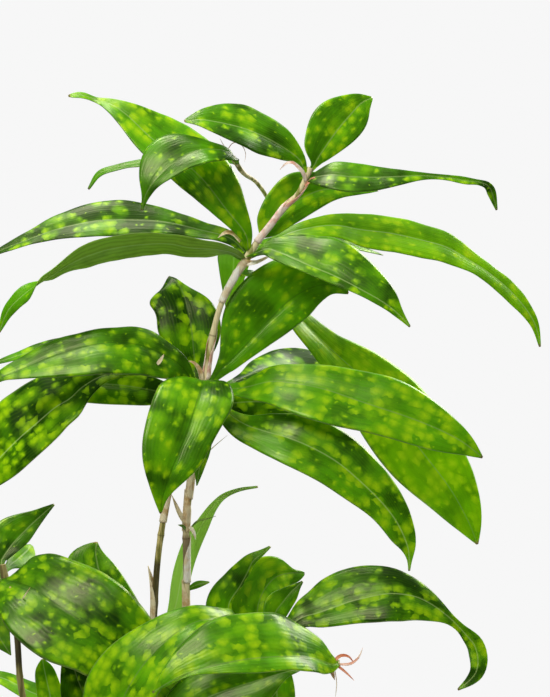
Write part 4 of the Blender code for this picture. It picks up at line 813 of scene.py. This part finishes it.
def cane_tree():
    """Turns a path into a round cane with a low swelling at each joint, closed at both ends."""
    tree, add, given = new_tree(
        "jointed_cane", Joint_Spacing="Float", Joint_Swell="Float", Sides="Int", Finish="Material")
    length = add("GeometryNodeSplineParameter").node.outputs["Length"]
    radius = add("GeometryNodeInputRadius")
    wander = add("TexNoise", Scale=JOINT_WANDER_SCALE, Detail=0.0)
    turns = add("Math", length, given["Joint Spacing"], operation="DIVIDE")
    turns = add("Math", wander, JOINT_WANDER, turns, operation="MULTIPLY_ADD")
    beat = add("Math", turns, 1.0, operation="PINGPONG")
    joint = add("Math", beat, JOINT_SHARPNESS, operation="POWER")
    marked = add("GeometryNodeStoreNamedAttribute", given["Geometry"], Name="joint", Value=joint,
                 data_type="FLOAT", domain="POINT")
    swell = add("Math", joint, given["Joint Swell"], 1.0, operation="MULTIPLY_ADD")
    swollen = add("Math", radius, swell, operation="MULTIPLY")
    path = add("GeometryNodeSetCurveRadius", marked, Radius=swollen)
    ring = add("GeometryNodeCurvePrimitiveCircle", Resolution=given["Sides"], Radius=1.0)
    tube = add("GeometryNodeCurveToMesh", path, ring, Scale=swollen, Fill_Caps=True)
    welded = add("GeometryNodeMergeByDistance", tube, Distance=WELD)
    real = add("GeometryNodeRealizeInstances", welded)
    done = add("GeometryNodeSetMaterial", real, Material=given["Finish"])
    add("NodeGroupOutput", done)
    return tree


# A whole turn, the smallest and largest crumb as shares of the size asked for, and its dents in metres
WHOLE_TURN = 6.28
SMALLEST_CRUMB = 0.4
LARGEST_CRUMB = 1.3
DENT_SCALE = 420.0
DENT_DEPTH = 0.0022


def crumb_tree():
    """Strews bark chips or grit over a surface, each turned, sized and dented at random."""
    tree, add, given = new_tree(
        "strewn_crumbs", Count_Per_Square_Metre="Float", Crumb_Size="Float", Flatness="Float", Seed="Int",
        Finish="Material")
    points = add("GeometryNodeDistributePointsOnFaces", given["Geometry"],
                 Density=given["Count Per Square Metre"], Seed=given["Seed"])
    chip = add("GeometryNodeMeshIcoSphere", Radius=given["Crumb Size"], Subdivisions=2)
    turn = add("FunctionNodeRandomValue", [0.0] * 3, [WHOLE_TURN] * 3, Seed=given["Seed"],
               data_type="FLOAT_VECTOR")
    size = add("FunctionNodeRandomValue", SMALLEST_CRUMB, LARGEST_CRUMB, Seed=given["Seed"],
               data_type="FLOAT")
    thin = add("Math", size, given["Flatness"], operation="MULTIPLY")
    scale = add("CombineXYZ", size, thin, thin)
    chips = add("GeometryNodeInstanceOnPoints", points, Instance=chip, Rotation=turn, Scale=scale)
    real = add("GeometryNodeRealizeInstances", chips)
    dents = add("TexNoise", Scale=DENT_SCALE, Detail=1.0).node.outputs["Color"]
    dents = add("VectorMath", dents, (0.5, 0.5, 0.5), operation="SUBTRACT")
    dents = add("VectorMath", dents, DENT_DEPTH, operation="SCALE")
    rough = add("GeometryNodeSetPosition", real, Offset=dents)
    done = add("GeometryNodeSetMaterial", rough, Material=given["Finish"])
    add("NodeGroupOutput", done)
    return tree


def eased(values):
    """The vectors, each set to the mean of those near it, so that measured widths flow."""
    last = len(values) - 1
    smooth = []
    for i in range(len(values)):
        reach = min(EASE_ROWS, i, last - i)
        near = values[i - reach:i + reach + 1]
        smooth.append(sum(near[1:], near[0]) / len(near))
    return smooth


def blade_sheet(name, leaf, routes, number):
    """The leaf as one fine sheet that keeps, at each point, where on the blade it lies."""
    spots = even_points(leaf_route(leaf, routes), BLADE_ROWS)
    fold = math.tan(math.radians(leaf.get("fold", FOLD)))
    droop = leaf.get("droop", EDGE_DROOP)
    alongs = eased([along for share, here, along, seen in spots])
    frames = []
    halves = []
    for (share, here, _, seen), along in zip(spots, alongs):
        along = along.normalized()
        up, side = square_to(along, face_direction(leaf["looks"], share))
        frames.append((here, side, up))
        if seen:
            reaches = blade_reach(seen, here, along, side, up * (fold - droop))
        else:
            reaches = [half_width(share, leaf)] * 2
        halves.append(Vector(reaches))
    halves = eased(halves)
    shell = bmesh.new()
    bmesh.ops.create_grid(shell, x_segments=BLADE_COLUMNS, y_segments=BLADE_ROWS, size=1.0)
    mesh = mesh_of(shell, name)
    marks = {"across": [], "along": []}
    for label, strength in zip(("gold", "light", "rib"), leaf.get("tone", USUAL_TONE)):
        marks[label] = [strength] * len(mesh.vertices)
    places = []
    walked = 0.0
    for i, (here, side, up) in enumerate(frames):
        walked += (here - frames[max(i - 1, 0)][0]).length / MM
        for j in range(BLADE_COLUMNS + 1):
            across = 2 * j / BLADE_COLUMNS - 1
            half = halves[i][0] if across < 0 else halves[i][1]
            bend = math.hypot(across, CREASE) - CREASE
            rise = fold * bend - droop * across * across
            vertex = mesh.vertices[i * (BLADE_COLUMNS + 1) + j]
            vertex.co = here + side * (across * half) + up * (rise * half)
            marks["across"].append(across)
            marks["along"].append(i / BLADE_ROWS)
            places += [across * half / MM, walked + number * SPOT_SHIFT, 0.0]
    for label, values in marks.items():
        mesh.attributes.new(label, "FLOAT", "POINT").data.foreach_set("value", values)
    mesh.attributes.new("blade_mm", "FLOAT_VECTOR", "POINT").data.foreach_set("vector", places)
    return placed(name + "_sheet", mesh)


def dress(piece, slot, *nodes):
    """The piece moves with the plant and stands for any solids named. The slot is not used."""
    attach(piece, "root")
    if nodes:
        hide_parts(*nodes)


# How strongly the veins, the bands between them, the halos and the blotches show on either face of a leaf
UPPER_SHARES = (0.09, 0.12, 0.85, 0.8)
UNDER_SHARES = (0.3, 0.4, 0.3, 0.3)
# The lengthwise pleats of half a blade and their depth, the height of the ripple at the margin and its
# length in millimetres, and how far one leaf's ripple is from the next one's
PLEATS = 4.5
PLEAT_DEPTH = 0.00005
RIPPLE_HEIGHT = 0.0035
RIPPLE_LENGTH = 22.0
SEED_STEP = 1.37


def make_leaves(routes):
    """Every leaf, with a finish for its upper face and one for its paler underside."""
    usual_upper = leaf_material(
        "waxy_leaf_upper", ("#123C00", "#5CA600", "#84C200", "#BEE008", "#C4DC86", "#A8764A"),
        gloss=0.31, glow=0.34, shares=UPPER_SHARES)
    usual_under = leaf_material(
        "waxy_leaf_under", ("#3E6E0A", "#A6C848", "#A6CC3A", "#C6DC56", "#E6EEC0", "#A8764A"),
        gloss=0.55, glow=0.35, shares=UNDER_SHARES)
    # Brighter, yellower copies of the finishes that let more light through: painted backlight, for the
    # leaves flagged to look lit from behind
    painted_backlight = leaf_material(
        "young_leaf_upper", ("#2F7800", "#86C600", "#A8DA00", "#D2EA1C", "#DCEAB0", "#B9805A"),
        gloss=0.32, glow=0.5, shares=UPPER_SHARES)
    painted_backlight_under = leaf_material(
        "young_leaf_under", ("#6EAE22", "#B0DA44", "#BADE4C", "#D2E868", "#E6F0B8", "#B9805A"),
        gloss=0.55, glow=0.5, shares=UNDER_SHARES)
    tree = blade_tree()
    for number, (name, leaf) in enumerate(LEAVES.items()):
        upper, under = (painted_backlight, painted_backlight_under) if leaf.get("painted_backlight") else (usual_upper, usual_under)
        blade = grown(
            blade_sheet(name, leaf, routes, number), tree, Thickness=BLADE_THICKNESS, Pleats=PLEATS,
            Pleat_Depth=PLEAT_DEPTH, Ripple_Height=RIPPLE_HEIGHT, Ripple_Length=RIPPLE_LENGTH,
            Seed=number * SEED_STEP, Upper_Finish=upper, Under_Finish=under)
        blade.name = name + "_blade"
        dress(blade, "leaf_blade", name)


def path_object(name, path):
    """A curve object through points of x, y, z and radius."""
    data = bpy.data.curves.new(name, "CURVE")
    data.dimensions = "3D"
    spline = data.splines.new("POLY")
    spline.points.add(len(path) - 1)
    for point, (x, y, z, radius) in zip(spline.points, path):
        point.co = (x, y, z, 1.0)
        point.radius = radius
    return placed(name, data)


def joined(name, pieces):
    """One smooth object made of several, each with its own finish, under a new name."""
    shell = bmesh.new()
    finishes = []
    for piece in pieces:
        finish = piece.data.materials[0]
        if finish not in finishes:
            finishes.append(finish)
        first = len(shell.faces)
        shell.from_mesh(piece.data)
        shell.faces.ensure_lookup_table()
        for face in shell.faces[first:]:
            face.material_index = finishes.index(finish)
            face.smooth = True
    mesh = mesh_of(shell, name)
    for finish in finishes:
        mesh.materials.append(finish)
    for piece in pieces:
        bpy.data.objects.remove(piece, do_unlink=True)
    return placed(name, mesh)


# The skin, its dried strips and its scars, and the true heights between which it has gone dark
CANE_TONES = {
    "cane_main": ("#8F9040", "#E2D4A0", "#5E4426", 0.296, 0.314),
    "cane_second": ("#77742C", "#BFB06C", "#2B1E0E", 0.262, 0.300),
    "cane_left": ("#6A6232", "#9A8C54", "#2E2210", 0.236, 0.262),
    "cane_front": ("#8C9038", "#D4CA8C", "#5A4628", 0.160, 0.172)}


def make_canes(routes):
    """Every cane with its twigs, as one piece a cane."""
    tree = cane_tree()
    for name in CANES:
        finish = cane_material(name + "_bark", *CANE_TONES[name])
        paths = [path for key, path in routes.items() if name in (key, key[0])]
        pieces = [
            grown(path_object(name + "_path", path), tree, Joint_Spacing=JOINT_SPACING,
                  Joint_Swell=JOINT_SWELL, Sides=CANE_SIDES, Finish=finish)
            for path in paths]
        dress(joined(name + "_skin", pieces), "cane_bark", name)


# Papery sheaths that still wrap each cane: the true heights of foot and point, the side they face in
# degrees from the front toward the right, how far round they reach, how far the point stands out, the tone
SHEATHS = {
    "cane_main": [(412, 444, 160, 330, 0.6, "pink"), (458, 479, -30, 330, 0.5, "cream"),
        (474, 486, 60, 300, 3.0, "tan"), (494, 517, -60, 320, 0.6, "pink"),
        (508, 529, 110, 320, 0.8, "pink"), (318, 344, -60, 320, 0.7, "tan"),
        (338, 372, 40, 330, 0.5, "tan"), (366, 398, -100, 330, 0.5, "cream"),
        (286, 316, 100, 300, 0.6, "cream"), (246, 288, -60, 320, 0.5, "tan"),
        (180, 232, 60, 320, 0.6, "tan")],
    "cane_second": [(262, 298, -100, 250, 3.2, "tan"), (226, 262, 60, 300, 0.6, "tan"),
        (326, 360, 60, 320, 0.5, "tan"), (170, 214, -40, 320, 0.8, "cream")],
    "cane_left": [(158, 196, -70, 300, 0.8, "tan"), (262, 284, -60, 300, 0.6, "pink")],
    "cane_front": [(172, 204, -30, 300, 0.6, "tan"), (222, 246, 60, 300, 0.6, "cream")]}
SHEATH_ROWS = 24
SHEATH_COLUMNS = 14
SHEATH_THICKNESS = 0.00022
SHEATH_ROOM = 0.0003
CRUMPLE = 0.00008
# How fast a sheath narrows, the share of its reach that is left at the point, and how ragged its sides are
NARROWING = 2.2
POINT_SHARE = 0.04
RAGGEDNESS = 0.05

# Dry bracts, bud scales and threads of each cane: their greatest width, their tone, and points
BRACTS = {
    "cane_main": [
        (3.2, "pink", [(105.2, 530, 3), (103, 536, 5), (97.2, 541.5, 7), (93, 540.5, 8), (90, 537.4, 8)]),
        (2.0, "rust", [(105, 527.5, 2), (111, 532.4, 3), (115, 527.4, 4)]),
        (4.2, "tan", [(66, 494, 3), (62, 498.5, 5), (57.5, 499.4, 6), (52.8, 496.5, 7)]),
        (3.0, "cream", [(70, 480.2, 3), (76, 481.5, 5), (82, 484.5, 6), (85.5, 487, 6)]),
        (3.6, "tan", [(43, 411, 3), (41.5, 417, 4), (38, 421.5, 5), (34, 422.5, 6)]),
        (0.5, "pink", [(58, 548.5, 12), (62, 553.5, 14), (67, 552, 15), (69.4, 547, 14), (68.8, 542, 13)]),
        (0.5, "pink", [(60, 549, 12), (56.5, 551.5, 13), (54, 556, 14)]),
        (3.4, "tan", [(33, 325, 2.5), (29.5, 331, 4), (25.2, 341.8, 5)]),
        (2.6, "green", [(33.2, 321.5, 3), (31, 323.5, 4), (28.8, 324.2, 5)]),
        (2.6, "cream", [(36, 323, 2.5), (38.2, 319.5, 4), (39.4, 315.5, 4)]),
        (1.6, "green", [(37, 323, 2), (41, 326.5, 5), (46, 327.6, 7), (51.5, 329.5, 8)]),
        (0.5, "cream", [(47, 368, 3), (52, 372.6, 4), (58.5, 378, 5)])],
    "cane_second": [(3.4, "rust", [(28, 412, 14), (25.5, 416, 17), (22.5, 420.5, 19)]),
        (2.4, "tan", [(16.5, 420.5, 25), (18.5, 423, 26), (20.4, 426.6, 26)])],
    "cane_left": [(1.6, "tan", [(-72, 287, 14), (-66, 279, 23), (-60, 286.5, 33)])],
    "cane_front": [
        (2.2, "rust", [(122, 242, 59), (126.5, 245.6, 60), (131, 245.2, 60), (134.5, 241.3, 60)]),
        (1.8, "pink", [(125, 240.5, 59), (132, 240.6, 60), (137, 244.5, 61), (139.7, 250.4, 61)]),
        (1.7, "rust", [(123.5, 240, 60), (127.5, 237.2, 61), (131, 234.2, 61), (134.5, 230.8, 61)]),
        (3.2, "tan", [(120, 239.5, 61), (121, 236, 62), (122.8, 231.2, 62)]),
        (0.5, "cream", [(123, 237, 60), (124, 229, 61), (123.2, 220, 61)])]}
BRACT_ROWS = 20
BRACT_COLUMNS = 6
BRACT_FACING = Vector((0.2, -0.7, 0.7))
BRACT_CUP = 0.45
# How fast a bract narrows toward its tip, and the share of its width that is left there
BRACT_NARROWING = 2.5
BRACT_TIP_SHARE = 0.12

# The material that each tone stands for: its name, and its pale, stained and darkest colours
PAPER_TONES = {
    "cream": ("cream_sheath", "#FFFBEA", "#F0DEB4", "#A9824E"),
    "tan": ("tan_sheath", "#F6E8C0", "#D6B478", "#7A5630"),
    "pink": ("blush_sheath", "#FFEEDC", "#EAB496", "#9A6040"),
    "rust": ("rust_bract", "#F0B08A", "#CC7648", "#7A3E1E"),
    "green": ("green_bud_scale", "#8DB04A", "#4F7426", "#2E4416")}


def paper_sheet(name, rows, finish):
    """A thin closed piece of sheath from rows of points."""
    shell = bmesh.new()
    grid = [[shell.verts.new(point) for point in row] for row in rows]
    for low, high in zip(grid, grid[1:]):
        for corners in zip(low, low[1:], high[1:], high):
            shell.faces.new(corners)
    mesh = mesh_of(shell, name)
    mesh.materials.append(finish)
    piece = placed(name, mesh)
    thicken = piece.modifiers.new("Thickness", "SOLIDIFY")
    thicken.thickness = SHEATH_THICKNESS
    thicken.offset = 0.0
    piece.data = plain_mesh(piece)
    piece.modifiers.clear()
    return piece


def sheath_piece(path, foot, point, turn, reach, stand, finish, phase):
    """A sheath wrapped round the cane, torn to a point at its upper end."""
    turn = math.radians(turn)
    front = Vector((math.sin(turn), -math.cos(turn), 0.0))
    rows = []
    for i in range(SHEATH_ROWS + 1):
        share = i / SHEATH_ROWS
        middle, along, radius = seat_on_cane(path, (foot + (point - foot) * share) * MM)
        ahead, beside = square_to(along, front)
        torn = max(POINT_SHARE, 1 - share ** NARROWING) * (1 + RAGGEDNESS * math.sin(9 * share + foot))
        wrap = math.radians(reach) / 2 * torn
        away = radius * (1 + JOINT_SWELL) + SHEATH_ROOM + stand * MM * share ** 3
        row = []
        for j in range(SHEATH_COLUMNS + 1):
            angle = wrap * (2 * j / SHEATH_COLUMNS - 1)
            reach_out = away + CRUMPLE * math.sin(5 * angle + phase) * share
            row.append(middle + (ahead * math.cos(angle) + beside * math.sin(angle)) * reach_out)
        rows.append(row)
    return paper_sheet("sheath", rows, finish)


def bract_piece(width, points, finish):
    """A dry bract or thread that tapers to a point, cupped along its middle."""
    knots = [[*place(*point)] for point in points]
    rows = []
    for share, here, along, _ in even_points(knots, BRACT_ROWS):
        up, side = square_to(along, BRACT_FACING)
        taper = math.sin(math.pi * min(0.5, 0.2 + share)) * (1 - share ** BRACT_NARROWING)
        half = 0.5 * width * MM * max(BRACT_TIP_SHARE, taper)
        row = []
        for j in range(BRACT_COLUMNS + 1):
            across = 2 * j / BRACT_COLUMNS - 1
            row.append(here + side * (across * half) + up * (BRACT_CUP * half * across * across))
        rows.append(row)
    return paper_sheet("bract", rows, finish)


def make_sheaths(routes):
    """The dry sheaths and bracts of each cane, as one piece a cane."""
    papers = {tone: paper_material(*looks) for tone, looks in PAPER_TONES.items()}
    chance = random.Random(7)
    for name in CANES:
        pieces = []
        for *measures, tone in SHEATHS[name]:
            phase = chance.uniform(0, 6)
            pieces.append(sheath_piece(routes[name], *measures, papers[tone], phase))
        for width, tone, points in BRACTS[name]:
            pieces.append(bract_piece(width, points, papers[tone]))
        dress(joined(name + "_sheaths", pieces), "cane_bark")


def pot_inner_radius(height):
    """The inside wall's radius at a height above the underside."""
    top = POT_RIM_RADIUS - POT_WALL
    bottom = POT_FOOT_RADIUS - POT_WALL / 2
    return bottom + (top - bottom) * (height - POT_FLOOR) / (POT_HEIGHT - POT_FLOOR)


def make_pot():
    """The pot, turned with soft edges, and its drain holes."""
    band_foot = POT_HEIGHT - RIM_BAND
    profile = [
        (0.0, POT_FLOOR),
        (pot_inner_radius(POT_FLOOR), POT_FLOOR),
        (pot_inner_radius(POT_HEIGHT - POT_EDGE), POT_HEIGHT - POT_EDGE),
        (pot_inner_radius(POT_HEIGHT) + POT_EDGE, POT_HEIGHT),
        (POT_RIM_RADIUS - POT_EDGE, POT_HEIGHT),
        (POT_RIM_RADIUS, POT_HEIGHT - POT_EDGE),
        (POT_RIM_RADIUS - POT_EDGE, band_foot + POT_EDGE),
        (POT_RIM_RADIUS - 2 * POT_EDGE, band_foot),
        (pot_inner_radius(band_foot) + POT_BODY_WALL, band_foot),
        (POT_FOOT_RADIUS + POT_EDGE, POT_EDGE),
        (POT_FOOT_RADIUS, 0.0),
        (0.0, 0.0)]
    mesh = bpy.data.meshes.new("pot_clay")
    mesh.from_pydata([(x, 0.0, z) for x, z in profile], [(i, i + 1) for i in range(len(profile) - 1)], [])
    mesh.materials.append(clay_material())
    pot = placed("pot_clay", mesh)
    spin = pot.modifiers.new("Turn", "SCREW")
    spin.steps = spin.render_steps = POT_FACETS
    spin.use_merge_vertices = True
    spin.merge_threshold = POT_WELD
    drills = []
    for i in range(DRAIN_COUNT):
        turn = 2 * math.pi * (i + 0.5) / DRAIN_COUNT
        middle = (DRAIN_CIRCLE * math.cos(turn), DRAIN_CIRCLE * math.sin(turn), POT_FLOOR / 2)
        bpy.ops.mesh.primitive_cylinder_add(
            vertices=DRAIN_FACETS, radius=DRAIN_RADIUS, depth=3 * POT_FLOOR, location=middle)
        drills.append(bpy.context.active_object)
        cut = pot.modifiers.new("Drain", "BOOLEAN")
        cut.operation = "DIFFERENCE"
        cut.solver = "EXACT"
        cut.object = drills[-1]
    soft = pot.modifiers.new("Soft edges", "BEVEL")
    soft.width = SOFT_EDGE
    soft.segments = 2
    soft.limit_method = "ANGLE"
    soft.angle_limit = math.radians(25)
    pot.data = plain_mesh(pot)
    pot.modifiers.clear()
    for drill in drills:
        bpy.data.objects.remove(drill, do_unlink=True)
    pot.data.shade_smooth()
    pot.data.set_sharp_from_angle(angle=math.radians(35))
    dress(pot, "fired_clay", "pot")


# The bed under the crumbs: how far it stays from the wall, its sides, and the cuts across each face
BED_MARGIN = 0.004
BED_SIDES = 64
BED_CUTS = 5
# The crumbs: how many lie on a square metre, their size, how flat they are, and the seed
CRUMBS = [
    ("soil_fibre", 60000, 0.0011, 0.55, 3),
    ("soil_chips", 16000, 0.0026, 0.5, 11),
    ("soil_grit", 2600, 0.0013, 0.85, 23)]


def make_soil():
    """Bark chips and grit over the mix, whose own solid stays in view between them."""
    mix = soil_material("potting_mix", "#1E140C", "#3A281A", "#6B5138")
    chips = soil_material("bark_chips", "#33210F", "#5C4228", "#8A6A45")
    grit = soil_material("pale_grit", "#B9B2A4", "#D8D3C8", "#EFECE6")
    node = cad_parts["soil"]
    node.data.materials.clear()
    node.data.materials.append(mix)
    tree = crumb_tree()
    bed_radius = pot_inner_radius(SOIL_LEVEL) - BED_MARGIN
    for finish, (name, count, size, flatness, seed) in zip((mix, chips, grit), CRUMBS):
        shell = bmesh.new()
        bmesh.ops.create_circle(shell, cap_ends=True, cap_tris=True, radius=bed_radius, segments=BED_SIDES)
        bmesh.ops.subdivide_edges(shell, edges=shell.edges, cuts=BED_CUTS, use_grid_fill=True)
        for vertex in shell.verts:
            x, y, _ = vertex.co
            swells = [part * math.sin(over * x + back * y + start)
                      for part, over, back, start in SOIL_RIPPLES]
            vertex.co.z = SOIL_LEVEL + SOIL_RELIEF * sum(swells)
        crumbs = grown(placed(name, mesh_of(shell, name)), tree, Count_Per_Square_Metre=count,
                       Crumb_Size=size, Flatness=flatness, Seed=seed, Finish=finish)
        dress(crumbs, "potting_mix")


# The room: the floor, how bright the room looks behind the plant, and how much of it a shine gives back.
# The lamps: where each stands, what it points at, its width and depth, and its power.
FLOOR_RADIUS = 0.6
FLOOR_SIDES = 96
BACKDROP = 0.93
MIRRORED_ROOM = 0.12
LAMPS = [
    ("overhead_lamp", (-0.25, 0.1, 1.7), (0.05, 0.0, 0.38), (0.6, 0.5), 17.0),
    ("key_lamp", (-0.40, -0.95, 1.4), (0.05, 0.0, 0.38), (0.6, 0.5), 14.0),
    ("rim_lamp", (1.0, 0.9, 1.2), (0.05, 0.0, 0.36), (0.7, 0.7), 27.0)]


def make_stage():
    """A wide pale floor, a bright even room and three soft lamps."""
    material, add = new_material("pale_floor")
    skin = add("BsdfPrincipled", Base_Color=linear("#B2B2B4"), Roughness=0.9)
    add("OutputMaterial", skin)
    bpy.ops.mesh.primitive_circle_add(
        vertices=FLOOR_SIDES, radius=FLOOR_RADIUS, fill_type="NGON", location=(0, 0, 0))
    floor = bpy.context.active_object
    floor.name = "floor"
    floor.data.materials.append(material)
    world = bpy.data.worlds.new("bright_room")
    bpy.context.scene.world = world
    world.use_nodes = True
    world.node_tree.nodes.clear()
    add = functools.partial(add_node, world.node_tree)
    # The room brightens upward and toward its far side, and a shine gives back only part of it
    way = add("TexCoord").node.outputs["Generated"]
    parts = add("SeparateXYZ", way).node.outputs
    lift = add("MapRange", parts["Z"], -0.6, 0.9, 0.22, 0.72)
    side = add("MapRange", parts["Y"], -1.0, 0.6, 0.45, 1.0)
    room = add("Math", lift, side, operation="MULTIPLY")
    calm = add("Math", room, MIRRORED_ROOM, operation="MULTIPLY")
    rays = add("LightPath").node.outputs
    strength = add("Mix", rays["Is Glossy Ray"], room, calm, data_type="FLOAT")
    strength = add("Mix", rays["Is Camera Ray"], strength, BACKDROP, data_type="FLOAT")
    light = add("Background", Color=linear("#FFFFFF"), Strength=strength)
    add("OutputWorld", light)
    for name, spot, aim, size, power in LAMPS:
        data = bpy.data.lights.new(name, "AREA")
        data.shape = "RECTANGLE"
        data.size, data.size_y = size
        data.energy = power
        lamp = placed(name, data)
        lamp.location = spot
        lamp.rotation_euler = (Vector(aim) - Vector(spot)).to_track_quat("-Z", "Y").to_euler()


def make_camera():
    """The photograph's viewpoint: the spot that the plant was measured from."""
    data = bpy.data.cameras.new("photo_view")
    data.sensor_fit = "VERTICAL"
    data.sensor_height = 36.0
    data.lens = data.sensor_height * SIGHT_DISTANCE / (PHOTO_ROWS * PHOTO_SCALE)
    camera = placed("photo_view", data)
    camera.location = SIGHT
    camera.rotation_euler = SIGHT_AXIS.to_track_quat("-Z", "Y").to_euler()
    bpy.context.scene.camera = camera


def main():
    """The viewpoint, the room, and every part of the plant and its pot."""
    bpy.context.scene.view_settings.view_transform = "Standard"
    make_camera()
    make_stage()
    routes = {}
    for name, points in CANES.items():
        routes[name] = cane_path(points)
        for index, twig in enumerate(TWIGS.get(name, [])):
            routes[(name, index)] = cane_path(twig)
    make_leaves(routes)
    make_canes(routes)
    make_sheaths(routes)
    make_pot()
    make_soil()


main()
